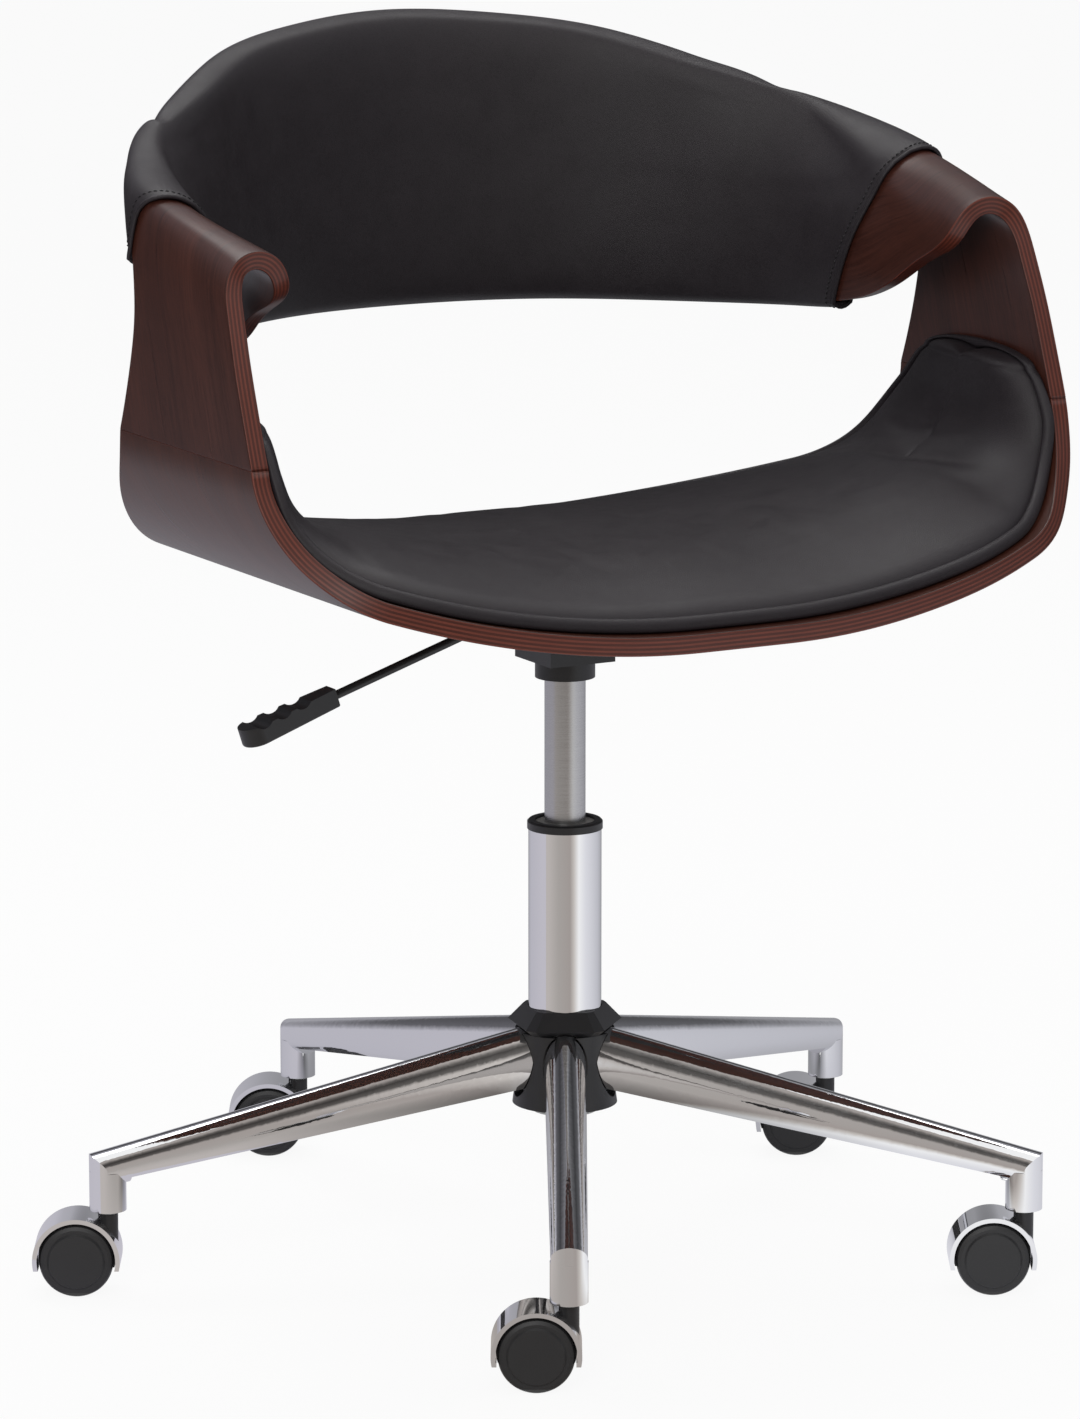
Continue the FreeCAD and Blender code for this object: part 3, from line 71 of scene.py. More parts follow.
# One row per line across the ribbon: front or lower end, rear or upper end,
# and how far the line bulges outwards at its thirds
RIBBON = (
    ((1.000, -0.579, 0.0008), (1.000, 0.202, 0.0008), (0.000, 0.000)),
    ((1.000, -0.530, 0.134), (1.000, 0.146, 0.160), (0.000, 0.000)),
    ((0.998, -0.478, 0.273), (1.000, 0.109, 0.315), (0.000, 0.000)),
    ((0.992, -0.429, 0.399), (0.998, 0.117, 0.462), (0.000, 0.000)),
    ((0.986, -0.405, 0.462), (0.985, 0.162, 0.563), (0.002, 0.005)),
    ((0.961, -0.388, 0.527), (0.952, 0.256, 0.655), (0.012, 0.019)),
    ((0.904, -0.377, 0.560), (0.911, 0.346, 0.702), (0.026, 0.036)),
    ((0.842, -0.364, 0.529), (0.873, 0.415, 0.733), (0.031, 0.042)),
    ((0.809, -0.336, 0.454), (0.834, 0.455, 0.756), (0.032, 0.042)),
    ((0.801, -0.194, 0.361), (0.797, 0.490, 0.775), (0.026, 0.045)),
    ((0.791, -0.061, 0.277), (0.759, 0.530, 0.796), (0.023, 0.049)),
    ((0.781, 0.101, 0.214), (0.697, 0.595, 0.826), (0.026, 0.045)),
    ((0.739, 0.364, 0.181), (0.609, 0.680, 0.863), (0.016, 0.026)),
    ((0.603, 0.640, 0.168), (0.464, 0.822, 0.931), (0.006, 0.010)),
    ((0.334, 0.883, 0.168), (0.250, 0.943, 0.979), (0.000, 0.000)),
    ((0.000, 0.968, 0.168), (0.000, 1.000, 1.000), (0.000, 0.000)),
)

# Share of the half profile, and the front and rear edges of the shell there
SEAT_EDGES = (
    (0.00, -1.000, 0.812),
    (0.20, -0.996, 0.785),
    (0.41, -0.962, 0.708),
    (0.55, -0.925, 0.608),
    (0.66, -0.875, 0.500),
    (0.75, -0.812, 0.415),
    (0.82, -0.735, 0.345),
    (0.89, -0.668, 0.275),
    (0.945, -0.625, 0.225),
    (1.00, -0.596, 0.208),
)

# The same for the seat cushion
WING_EDGES = (
    (0.00, -0.963, 0.779),
    (0.41, -0.925, 0.675),
    (0.66, -0.838, 0.467),
    (0.82, -0.700, 0.315),
    (0.90, -0.650, 0.255),
    (0.960, -0.625, 0.190),
    (1.020, -0.570, 0.100),
    (1.050, -0.500, 0.010),
    (1.070, -0.375, -0.155),
)


# Curves

class Spline:
    """A cubic curve through points, with parabolic ends."""

    def __init__(self, places, points):
        self.t = np.asarray(places, float)
        self.p = np.asarray(points, float)
        if self.p.ndim == 1:
            self.p = self.p[:, None]
        n, h = len(self.t), np.diff(self.t)
        d = np.diff(self.p, axis=0) / h[:, None]
        first = d[0] - (d[1] - d[0]) * h[0] / (h[0] + h[1])
        last = d[-1] + (d[-1] - d[-2]) * h[-1] / (h[-1] + h[-2])
        a, b = np.zeros((n, n)), np.zeros((n, self.p.shape[1]))
        a[0, 0], b[0] = 1, first
        a[-1, -1], b[-1] = 1, last
        for i in range(1, n - 1):
            a[i, i - 1], a[i, i], a[i, i + 1] = h[i], 2 * (h[i - 1] + h[i]), h[i - 1]
            b[i] = 3 * (h[i] * d[i - 1] + h[i - 1] * d[i])
        self.m = np.linalg.solve(a, b)

    def __call__(self, t):
        t = np.clip(np.asarray(t, float), self.t[0], self.t[-1])
        i = np.clip(np.searchsorted(self.t, t, side="right") - 1, 0, len(self.t) - 2)
        h = (self.t[i + 1] - self.t[i])[..., None]
        u = ((t - self.t[i]) / (self.t[i + 1] - self.t[i]))[..., None]
        return (
            (1 + 2 * u) * (1 - u) ** 2 * self.p[i]
            + u * (1 - u) ** 2 * h * self.m[i]
            + u * u * (3 - 2 * u) * self.p[i + 1]
            + u * u * (u - 1) * h * self.m[i + 1]
        )


def unit(v):
    """The same direction with a length of one."""
    return v / np.linalg.norm(v, axis=-1, keepdims=True)


def rise(value, low, high):
    """0 below low, 1 above high and a smooth step between."""
    part = np.clip((value - low) / (high - low), 0, 1)
    return part * part * (3 - 2 * part)


NEAR = 1e-4  # step for a direction along a curve
# The board thins between the first two of these rows and thickens between the last two,
# by a share of its thickness that grows across the ribbon
THIN_ROWS = (4.5, 5.25, 8, 12)
THIN_SHARE = 0.84
THIN_ACROSS = (0.5, 0.9)


class Ribbon:
    """The strip that makes both arms and the back; station runs +X arm to -X arm."""

    def __init__(self):
        scale = np.array((HALF_WIDTH, REACH, RISE))
        lift = np.array((0, 0, SEAM))
        rows = []
        for low, high, bulge in RIBBON:
            a, b = np.array(low) * scale + lift, np.array(high) * scale + lift
            row = [a]
            for part, share in zip((1 / 3, 2 / 3), bulge):
                p = a + (b - a) * part
                out = np.array((p[0], p[1], 0))
                row.append(p + out / np.linalg.norm(out) * share * HALF_WIDTH)
            rows.append(row + [b])
        rows = np.array(rows)
        mirror = rows[-2::-1] * np.array((-1, 1, 1))
        rows = np.concatenate((rows, mirror))
        steps = np.linalg.norm(np.diff(rows, axis=0), axis=2)
        self.length = steps.mean(1).sum()
        self.t = np.concatenate(([0], np.cumsum(steps[:, 0]))) / steps[:, 0].sum()
        self.curves = [Spline(self.t, rows[:, k]) for k in range(4)]

    def row(self, number):
        """Station of a row of the table, or of a place between two rows."""
        return float(np.interp(number, np.arange(len(self.t)), self.t))

    def point(self, s, v):
        """Outer face at station s and share v across: a cubic through four curves."""
        v = np.asarray(v, float)[..., None]
        a, b, c, d = v, v - 1 / 3, v - 2 / 3, v - 1
        w = (-4.5 * b * c * d, 13.5 * a * c * d, -13.5 * a * b * d, 4.5 * a * b * c)
        return sum(curve(s) * k for curve, k in zip(self.curves, w))

    def depth(self, s, v):
        """The ply's thickness, less at the tight bend under the back's cover."""
        s = np.where(s > 0.5, 1 - s, s)
        a, b, c, d = [self.row(number) for number in THIN_ROWS]
        bend = rise(s, a, b) - rise(s, c, d)
        return PLY * (1 - THIN_SHARE * bend * rise(v, *THIN_ACROSS))

    def across(self, s, v):
        return unit(self.point(s, v + NEAR) - self.point(s, v - NEAR))

    def normal(self, s, v):
        """Points into the board, away from its outer face."""
        along = self.point(np.minimum(s + NEAR, 1), v) - self.point(np.maximum(s - NEAR, 0), v)
        return unit(np.cross(along, self.across(s, v)))


RIB = Ribbon()


def profile(run):
    """Outside of the seat's U at a length from its middle, and the inward normal."""
    run = np.asarray(run, float)
    side, r = np.where(run < 0, -1.0, 1.0), np.abs(run)
    lean = math.asin((HALF_WIDTH - FLAT - CORNER) / (SWEEP - CORNER))
    corner_at = FLAT + SWEEP * lean
    panel_at = corner_at + CORNER * (math.pi / 2 - lean)
    angle = np.clip((r - FLAT) / SWEEP, 0, lean)
    bend = np.clip((r - corner_at) / CORNER, 0, math.pi / 2 - lean)
    up = np.maximum(r - panel_at, 0)
    x = np.minimum(r, FLAT) + SWEEP * np.sin(angle)
    z = UNDERSIDE + SWEEP * (1 - np.cos(angle))
    x = x + CORNER * (np.sin(lean + bend) - math.sin(lean))
    z = z + CORNER * (math.cos(lean) - np.cos(lean + bend)) + up
    turn = angle + bend
    zero = np.zeros_like(x)
    inward = np.stack((-side * np.sin(turn), zero, np.cos(turn)), -1)
    return np.stack((side * x, zero, z), -1), inward


def length_at(height):
    """Length along the U at which the upright panel reaches a height."""
    far = HALF_WIDTH + CORNER
    return far + height - float(profile(far)[0][2])


FULL = length_at(SEAM)
WING_END = length_at(WING_TOP) / FULL


def edge_of(rows, column):
    """The curve of one edge, alike on both sides of the middle."""
    half = [(row[0], row[column]) for row in rows]
    both = [(-p, v) for p, v in reversed(half[1:])] + half
    curve = Spline([p for p, _ in both], [v for _, v in both])
    return lambda place: curve(place)[..., 0] * SEAT_FRONT


SEAT_FRONT_EDGE, SEAT_REAR_EDGE = edge_of(SEAT_EDGES, 1), edge_of(SEAT_EDGES, 2)
WING_FRONT_EDGE, WING_REAR_EDGE = edge_of(WING_EDGES, 1), edge_of(WING_EDGES, 2)


# Meshes

def new_object(name, data):
    """An object in the scene that shows a mesh, a lamp or a camera."""
    obj = bpy.data.objects.new(name, data)
    bpy.context.scene.collection.objects.link(obj)
    return obj


def smooth(obj):
    """Shades every face smoothly."""
    obj.data.polygons.foreach_set("use_smooth", [True] * len(obj.data.polygons))
    obj.data.update()
    return obj


def clean_mesh(mesh, dist=None):
    """Merges points closer than dist and turns every face outwards."""
    bm = bmesh.new()
    bm.from_mesh(mesh)
    if dist:
        bmesh.ops.remove_doubles(bm, verts=bm.verts, dist=dist)
    bmesh.ops.recalc_face_normals(bm, faces=bm.faces)
    bm.to_mesh(mesh)
    bm.free()


def apply_modifiers(obj):
    """Puts the result of every modifier into the mesh."""
    graph = bpy.context.evaluated_depsgraph_get()
    graph.update()
    mesh = bpy.data.meshes.new_from_object(obj.evaluated_get(graph), depsgraph=graph)
    obj.modifiers.clear()
    obj.data = mesh
    return obj


BEVEL = 1.1
BEVEL_SHARES = (1.0, 0.2)  # of the bevel, at the long edges and at the ends
END_GRAIN = 20  # how far apart the columns of points lie on the texture of an end


def strip(name, outer, inner, along, materials):
    """A board between two grids of points, with rounded long edges."""
    n, m = outer.shape[:2]
    bm = bmesh.new()
    grids = []
    for grid in (outer, inner):
        grids.append([[bm.verts.new(grid[i, j] * MM) for j in range(m)] for i in range(n)])
    uv = bm.loops.layers.uv.new("grain")
    weight = bm.edges.layers.float.new("bevel_weight_edge")
    steps = np.linalg.norm(np.diff(outer, axis=1), axis=2)
    width = np.concatenate((np.zeros((n, 1)), np.cumsum(steps, 1)), 1)

    def quad(verts, places, slot):
        face = bm.faces.new(verts)
        face.material_index = slot
        face.smooth = True
        for loop, place in zip(face.loops, places):
            loop[uv].uv = place

    for side, grid in enumerate(grids):
        for i in range(n - 1):
            for j in range(m - 1):
                ids = [(i, j), (i + 1, j), (i + 1, j + 1), (i, j + 1)]
                if side == 0:
                    ids.reverse()
                places = [(along[a] * MM, width[a, b] * MM + side) for a, b in ids]
                quad([grid[a][b] for a, b in ids], places, 0)
    rims = [([(i, j) for i in range(n)], 0) for j in (0, m - 1)]
    rims += [([(i, j) for j in range(m)], 1) for i in (0, n - 1)]
    for line, kind in rims:
        for (a, b), (c, d) in zip(line, line[1:]):
            verts = [grids[0][a][b], grids[0][c][d], grids[1][c][d], grids[1][a][b]]
            if kind == 0:
                run = (along[a] * MM, along[c] * MM)
            else:
                run = (b * MM * END_GRAIN, d * MM * END_GRAIN)
            places = [(run[0], 0), (run[1], 0), (run[1], PLY * MM), (run[0], PLY * MM)]
            quad(verts, places, 1)
            for p, q in ((verts[0], verts[1]), (verts[3], verts[2])):
                bm.edges.get((p, q))[weight] = BEVEL_SHARES[kind]
    bmesh.ops.recalc_face_normals(bm, faces=bm.faces)
    mesh = bpy.data.meshes.new(name)
    bm.to_mesh(mesh)
    bm.free()
    for mat in materials:
        mesh.materials.append(mat)
    obj = new_object(name, mesh)
    mod = obj.modifiers.new("round", "BEVEL")
    mod.limit_method = "WEIGHT"
    mod.width = BEVEL * MM
    mod.segments = 3
    mod.material = -1
    mod = obj.modifiers.new("even", "WEIGHTED_NORMAL")
    mod.keep_sharp = True
    return apply_modifiers(obj)


RIBBON_COLUMNS, SEAT_COLUMNS = 25, 17  # points across a board


def ribbon_board(name, first, last, count, materials):
    """The ribbon's board between two rows, as count lines of points."""
    s = np.linspace(RIB.row(first), RIB.row(last), count)[:, None] * np.ones((1, RIBBON_COLUMNS))
    v = np.linspace(0, 1, RIBBON_COLUMNS)[None, :] * np.ones((count, 1))
    outer = RIB.point(s, v)
    inner = outer + RIB.normal(s, v) * RIB.depth(s, v)[..., None]
    return strip(name, outer, inner, s[:, 0] * RIB.length, materials)


def seat_board(name, count, materials):
    """The U of the seat shell, as count lines of points."""
    place = np.linspace(-1, 1, count)
    base, up = profile(place * FULL)
    v = np.linspace(0, 1, SEAT_COLUMNS)[None, :, None]
    front = SEAT_FRONT_EDGE(place)[:, None, None]
    rear = SEAT_REAR_EDGE(place)[:, None, None]
    outer = base[:, None, :] + (front + (rear - front) * v) * np.array((0, 1, 0))
    return strip(name, outer, outer + up[:, None, :] * PLY, place * FULL, materials)


# Materials

def material(name):
    """A new material, with its nodes, its links and its one shader."""
    mat = bpy.data.materials.new(name)
    mat.use_nodes = True
    nodes, links = mat.node_tree.nodes, mat.node_tree.links
    return mat, nodes, links, nodes["Principled BSDF"]


def grain_uv(nodes):
    """The board's texture coordinates, in metres: along the grain and across it."""
    made = nodes.new("ShaderNodeUVMap")
    made.uv_map = "grain"
    return made.outputs["UV"]


def object_place(nodes):
    """The point's place in the piece's own frame, in metres."""
    return nodes.new("ShaderNodeTexCoord").outputs["Object"]


def ramp(nodes, links, source, *stops):
    """Colours between stops, each a place from 0 to 1 and a colour."""
    made = nodes.new("ShaderNodeValToRGB")
    elements = made.color_ramp.elements
    while len(elements) < len(stops):
        elements.new(0.5)
    for element, (place, color) in zip(elements, stops):
        element.position = place
        element.color = (*color, 1)
    links.new(source, made.inputs["Fac"])
    return made.outputs["Color"]


def grey(value):
    return (value, value, value)


def tinted(color, share):
    return tuple(c * share for c in color)


def plain(socket, color):
    """Sets one colour directly on a socket."""
    socket.default_value = (*color, 1)


def scaled(nodes, links, source, scale, offset=(0, 0, 0)):
    made = nodes.new("ShaderNodeMapping")
    made.inputs["Scale"].default_value = scale
    made.inputs["Location"].default_value = offset
    links.new(source, made.inputs["Vector"])
    return made.outputs["Vector"]


def cloud(nodes, links, vector, scale, detail=4.0, rough=0.55, distortion=0.0):
    """Noise from 0 to 1 on a vector."""
    made = nodes.new("ShaderNodeTexNoise")
    made.inputs["Scale"].default_value = scale
    made.inputs["Detail"].default_value = detail
    made.inputs["Roughness"].default_value = rough
    made.inputs["Distortion"].default_value = distortion
    links.new(vector, made.inputs["Vector"])
    return made.outputs["Fac"]


def mix(nodes, links, kind, factor, a, b):
    """Mixes two colours; each may be a socket or a value."""
    made = nodes.new("ShaderNodeMix")
    made.data_type = "RGBA"
    made.blend_type = kind
    for socket, value in ((made.inputs[0], factor), (made.inputs[6], a), (made.inputs[7], b)):
        if isinstance(value, bpy.types.NodeSocket):
            links.new(value, socket)
        elif isinstance(value, tuple):
            socket.default_value = (*value, 1)
        else:
            socket.default_value = value
    return made.outputs[2]


def maths(nodes, links, kind, a, b=0.0):
    """One sum with two numbers; each may be a socket or a value."""
    made = nodes.new("ShaderNodeMath")
    made.operation = kind
    for socket, value in ((made.inputs[0], a), (made.inputs[1], b)):
        if isinstance(value, bpy.types.NodeSocket):
            links.new(value, socket)
        else:
            socket.default_value = value
    return made.outputs[0]


def bump(nodes, links, shader, height, strength, distance, normal=None):
    """Relief on the shader's normal, on top of an earlier one if there is one."""
    made = nodes.new("ShaderNodeBump")
    made.inputs["Strength"].default_value = strength
    made.inputs["Distance"].default_value = distance
    links.new(height, made.inputs["Height"])
    if normal is not None:
        links.new(normal, made.inputs["Normal"])
    links.new(made.outputs["Normal"], shader.inputs["Normal"])
    return made.outputs["Normal"]


def veneer(name, dark, light, seed):
    """Dark stained veneer with long grain and fine pores, under satin lacquer."""
    mat, nodes, links, shader = material(name)
    uv = grain_uv(nodes)
    broad_uv = scaled(nodes, links, uv, (2.2, 26, 1), (seed, seed * 2, 0))
    broad = cloud(nodes, links, broad_uv, 1.0, 3, 0.5, 0.6)
    fine_uv = scaled(nodes, links, uv, (9, 420, 1), (seed, 0, 0))
    fine = cloud(nodes, links, fine_uv, 1.0, 5, 0.6, 0.3)
    pore_uv = scaled(nodes, links, uv, (55, 1900, 1), (0, seed, 0))
    pores = cloud(nodes, links, pore_uv, 1.0, 2, 0.5)
    figure = mix(nodes, links, "MIX", 0.55, broad, fine)
    tone = ramp(nodes, links, figure, (0.30, dark), (0.72, light))
    pore = ramp(nodes, links, pores, (0.36, grey(0.55)), (0.50, grey(1.0)))
    links.new(mix(nodes, links, "MULTIPLY", 0.8, tone, pore), shader.inputs["Base Color"])
    rough = ramp(nodes, links, fine, (0.3, grey(0.27)), (0.7, grey(0.36)))
    links.new(rough, shader.inputs["Roughness"])
    shader.inputs["Specular IOR Level"].default_value = 0.32
    shader.inputs["Coat Weight"].default_value = 0.12
    shader.inputs["Coat Roughness"].default_value = 0.15
    bump(nodes, links, shader, mix(nodes, links, "MIX", 0.5, fine, pore), 0.12, 0.0002)
    return mat


LAYER_PAIR = 0.0029  # metres that two layers of the plywood take
LAYER_WANDER = 0.0006


def ply_edge(name, dark, light):
    """Cut edge of the plywood: thin layers, alternately along and across."""
    mat, nodes, links, shader = material(name)
    uv = grain_uv(nodes)
    wander = cloud(nodes, links, scaled(nodes, links, uv, (7, 60, 1)), 1.0, 2)
    split = nodes.new("ShaderNodeSeparateXYZ")
    links.new(uv, split.inputs[0])
    shift = maths(nodes, links, "MULTIPLY", wander, LAYER_WANDER)
    depth = maths(nodes, links, "ADD", split.outputs["Y"], shift)
    layer = maths(nodes, links, "FRACT", maths(nodes, links, "MULTIPLY", depth, 1 / LAYER_PAIR))
    bands = ramp(
        nodes, links, layer,
        (0.0, dark), (0.12, light), (0.48, light), (0.56, dark), (0.94, dark),
    )
    streak = cloud(nodes, links, scaled(nodes, links, uv, (40, 2600, 1)), 1.0, 3)
    shade = ramp(nodes, links, streak, (0.3, grey(0.72)), (0.7, grey(1.1)))
    links.new(mix(nodes, links, "MULTIPLY", 1.0, bands, shade), shader.inputs["Base Color"])
    shader.inputs["Roughness"].default_value = 0.38
    shader.inputs["Specular IOR Level"].default_value = 0.35
    shader.inputs["Coat Weight"].default_value = 0.15
    shader.inputs["Coat Roughness"].default_value = 0.15
    bump(nodes, links, shader, streak, 0.1, 0.0002)
    return mat


def leather(name, color):
    """Black coated leather with a fine pebble grain."""
    mat, nodes, links, shader = material(name)
    place = object_place(nodes)
    cells = nodes.new("ShaderNodeTexVoronoi")
    cells.feature = "DISTANCE_TO_EDGE"
    cells.inputs["Scale"].default_value = 950
    warp = cloud(nodes, links, place, 300, 2)
    shifted = nodes.new("ShaderNodeVectorMath")
    shifted.operation = "ADD"
    spread = nodes.new("ShaderNodeVectorMath")
    spread.operation = "SCALE"
    spread.inputs["Scale"].default_value = 0.0016
    links.new(place, shifted.inputs[0])
    links.new(warp, spread.inputs[0])
    links.new(spread.outputs[0], shifted.inputs[1])
    links.new(shifted.outputs[0], cells.inputs["Vector"])
    grain = ramp(nodes, links, cells.outputs["Distance"], (0.0, grey(0.0)), (0.16, grey(1.0)))
    soft = cloud(nodes, links, place, 45, 4, 0.6)
    rough = ramp(nodes, links, soft, (0.3, grey(0.40)), (0.7, grey(0.50)))
    links.new(rough, shader.inputs["Roughness"])
    tone = mix(nodes, links, "MIX", soft, tinted(color, 0.85), tinted(color, 1.2))
    links.new(mix(nodes, links, "MULTIPLY", 0.35, tone, grain), shader.inputs["Base Color"])
    shader.inputs["Specular IOR Level"].default_value = 0.32
    first = bump(nodes, links, shader, grain, 0.32, 0.00014)
    bump(nodes, links, shader, soft, 0.10, 0.0008, first)
    return mat


def chrome(name, rough=0.035):
    """Polished plate with the faintest waviness."""
    mat, nodes, links, shader = material(name)
    place = object_place(nodes)
    shader.inputs["Metallic"].default_value = 1.0
    plain(shader.inputs["Base Color"], (0.86, 0.865, 0.875))
    haze = cloud(nodes, links, place, 35, 3)
    sheen = ramp(nodes, links, haze, (0.3, grey(rough * 0.7)), (0.75, grey(rough * 1.6)))
    links.new(sheen, shader.inputs["Roughness"])
    bump(nodes, links, shader, cloud(nodes, links, place, 22, 2), 0.02, 0.0006)
    return mat


def steel(name, color=(0.52, 0.52, 0.52), rough=0.3, turned=True):
    """Ground steel: fine rings round the piece if turned, or else a fine speckle."""
    mat, nodes, links, shader = material(name)
    place = object_place(nodes)
    shader.inputs["Metallic"].default_value = 1.0
    stretch = (30, 30, 5200) if turned else (900, 900, 900)
    rings = cloud(nodes, links, scaled(nodes, links, place, stretch), 1.0, 3)
    tone = ramp(nodes, links, rings, (0.3, tinted(color, 0.9)), (0.7, tinted(color, 1.08)))
    links.new(tone, shader.inputs["Base Color"])
    sheen = ramp(nodes, links, rings, (0.3, grey(rough * 0.8)), (0.7, grey(rough * 1.2)))
    links.new(sheen, shader.inputs["Roughness"])
    bump(nodes, links, shader, rings, 0.08, 0.0001)
    return mat


def plastic(name, color, rough=0.42, grain=0.12, scale=900):
    """Moulded plastic with a fine spark-eroded texture."""
    mat, nodes, links, shader = material(name)
    place = object_place(nodes)
    fine = cloud(nodes, links, place, scale, 3, 0.6)
    broad = cloud(nodes, links, place, 30, 3)
    tone = mix(nodes, links, "MIX", broad, tinted(color, 0.88), tinted(color, 1.12))
    links.new(tone, shader.inputs["Base Color"])
    sheen = ramp(nodes, links, fine, (0.3, grey(rough * 0.88)), (0.7, grey(rough * 1.12)))
    links.new(sheen, shader.inputs["Roughness"])
    bump(nodes, links, shader, fine, grain, 0.0002)
    return mat


VENEER_SEAT = veneer("veneer_seat", (0.034, 0.010, 0.006), (0.085, 0.026, 0.016), 1.7)
VENEER_ARM = veneer("veneer_arm", (0.032, 0.010, 0.007), (0.086, 0.027, 0.018), 4.1)
EDGE = ply_edge("ply_edge", (0.070, 0.016, 0.009), (0.150, 0.034, 0.020))
LEATHER = leather("leather_black", (0.0245, 0.0200, 0.0232))
THREAD = plastic("thread_black", (0.006, 0.006, 0.007), 0.6, 0.3, 2500)
CHROME = chrome("chrome_plate")
SATIN = steel("satin_steel")
MACHINED = steel("machined_steel", (0.55, 0.55, 0.56), 0.25)
ZINC = steel("zinc_steel", (0.5, 0.51, 0.52), 0.32, False)
BLACK_METAL = plastic("black_coat", (0.016, 0.016, 0.017), 0.38, 0.1, 1300)
BLACK_PLASTIC = plastic("black_plastic", (0.014, 0.014, 0.015), 0.36, 0.08, 1600)
TREAD = plastic("wheel_plastic", (0.018, 0.018, 0.019), 0.45, 0.15, 1100)
GREY_PLASTIC = plastic("grey_plastic", (0.36, 0.36, 0.35), 0.45)
PALE_PLASTIC = plastic("pale_plastic", (0.62, 0.63, 0.63), 0.4)
RUBBER = plastic("stop_rubber", (0.02, 0.02, 0.02), 0.65)

BY_SLOT = {
    "chrome": CHROME,
    "steel": SATIN,
    "bright_steel": MACHINED,
    "zinc_steel": ZINC,
    "black_metal": BLACK_METAL,
    "black_plastic": BLACK_PLASTIC,
    "grey_plastic": GREY_PLASTIC,
    "pale_plastic": PALE_PLASTIC,
    "stop_rubber": RUBBER,
    "walnut_ply": VENEER_ARM,
    "black_leather": LEATHER,
}


def dress_nodes():
    """Gives every CAD node its material."""
    for entry in frame["record"]["subparts"]:
        mesh = NODES[entry["node"]].data
        mat = TREAD if "_wheel_" in entry["node"] else BY_SLOT[entry["material_slot"]]
        mesh.materials.clear()
        mesh.materials.append(mat)


# Cushions

def grid_object(name, points, mat, closed=False):
    """A smooth sheet of quads through a grid of points."""
    n, m = points.shape[:2]
    verts = (points.reshape(-1, 3) * MM).tolist()
    faces = []
    for i in range(n - 1):
        for j in range(m if closed else m - 1):
            k = (j + 1) % m
            faces.append((i * m + j, (i + 1) * m + j, (i + 1) * m + k, i * m + k))
    mesh = bpy.data.meshes.new(name)
    mesh.from_pydata(verts, [], faces)
    mesh.materials.append(mat)
    return new_object(name, mesh)


CREASE_SCALE = (9, 55, 20)  # creases per metre along each axis


def wrinkle(obj, free, depth):
    """Faint creases in the leather, longer across the chair than front to back."""
    normals = [v.normal.copy() for v in obj.data.vertices]
    for vert, normal, loose in zip(obj.data.vertices, normals, free):
        place = Vector([c * scale for c, scale in zip(vert.co, CREASE_SCALE)])
        amount = noise.fractal(place, 1.0, 2.0, 3, noise_basis="PERLIN_ORIGINAL")
        vert.co += normal * amount * depth * loose
    obj.data.update()


# Border of the seat cushion from its foot to the seam: inwards and up, in millimetres
BORDER = (
    (2.2, 0.0), (0.9, 0.7), (0.2, 2.0), (0.0, 3.8), (0.3, 5.6), (1.3, 7.5), (2.8, 8.8), (4.6, 9.4),
    (6.3, 9.3), (7.8, 8.6), (8.9, 7.5), (9.6, 6.4), (10.0, 5.6),
)

CLOTH_FRAMES = 16


def cloth_settle(obj, free, pressure, slack, cap):
    """Swells a sewn cover as cloth.

    free is how loosely each vertex is held, 0 to 1, and cap is the farthest
    that one may move, in metres.
    """
    rest = np.array([v.co[:] for v in obj.data.vertices])
    held = obj.vertex_groups.new(name="held")
    for number, weight in enumerate(free):
        held.add([number], float(1 - weight), "REPLACE")
    mod = obj.modifiers.new("cloth", "CLOTH")
    cloth = mod.settings
    cloth.quality = 4
    cloth.mass = 0.3
    cloth.vertex_group_mass = "held"
    cloth.pin_stiffness = 0.6
    cloth.tension_stiffness = 20
    cloth.compression_stiffness = 12
    cloth.shear_stiffness = 6
    cloth.bending_stiffness = 1.2
    cloth.use_pressure = True
    cloth.uniform_pressure_force = pressure
    cloth.shrink_min = -slack
    cloth.effector_weights.gravity = 0
    mod.point_cache.frame_start = 1
    mod.point_cache.frame_end = 20
    scene = bpy.context.scene
    for frame_number in range(1, CLOTH_FRAMES + 1):
        scene.frame_set(frame_number)
    graph = bpy.context.evaluated_depsgraph_get()
    result = obj.evaluated_get(graph).to_mesh()
    moved = np.array([v.co[:] for v in result.vertices]) - rest
    obj.evaluated_get(graph).to_mesh_clear()
    obj.modifiers.remove(mod)
    obj.vertex_groups.remove(held)
    scene.frame_set(1)
    length = np.linalg.norm(moved, axis=1, keepdims=True)
    moved *= cap * np.tanh(length / cap) / np.maximum(length, 1e-9)
    moved *= np.asarray(free)[:, None] ** 0.5
    obj.data.vertices.foreach_set("co", (rest + moved).ravel())
    obj.data.update()


def finish_cushion(obj, node_name):
    clean_mesh(obj.data)
    mod = obj.modifiers.new("fine", "SUBSURF")
    mod.levels = mod.render_levels = 1
    apply_modifiers(obj)
    smooth(obj)
    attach(obj, "seat")
    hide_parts(node_name)


SEAT_RAYS = 151  # along each long edge
RAY_CROWDING = 1.3  # more of them near the wings' tips
TIP_RAYS = 23
TIP_INSET, TIP_REACH = 10, 13  # the wing's tip: where its fan is centred, and how far it runs


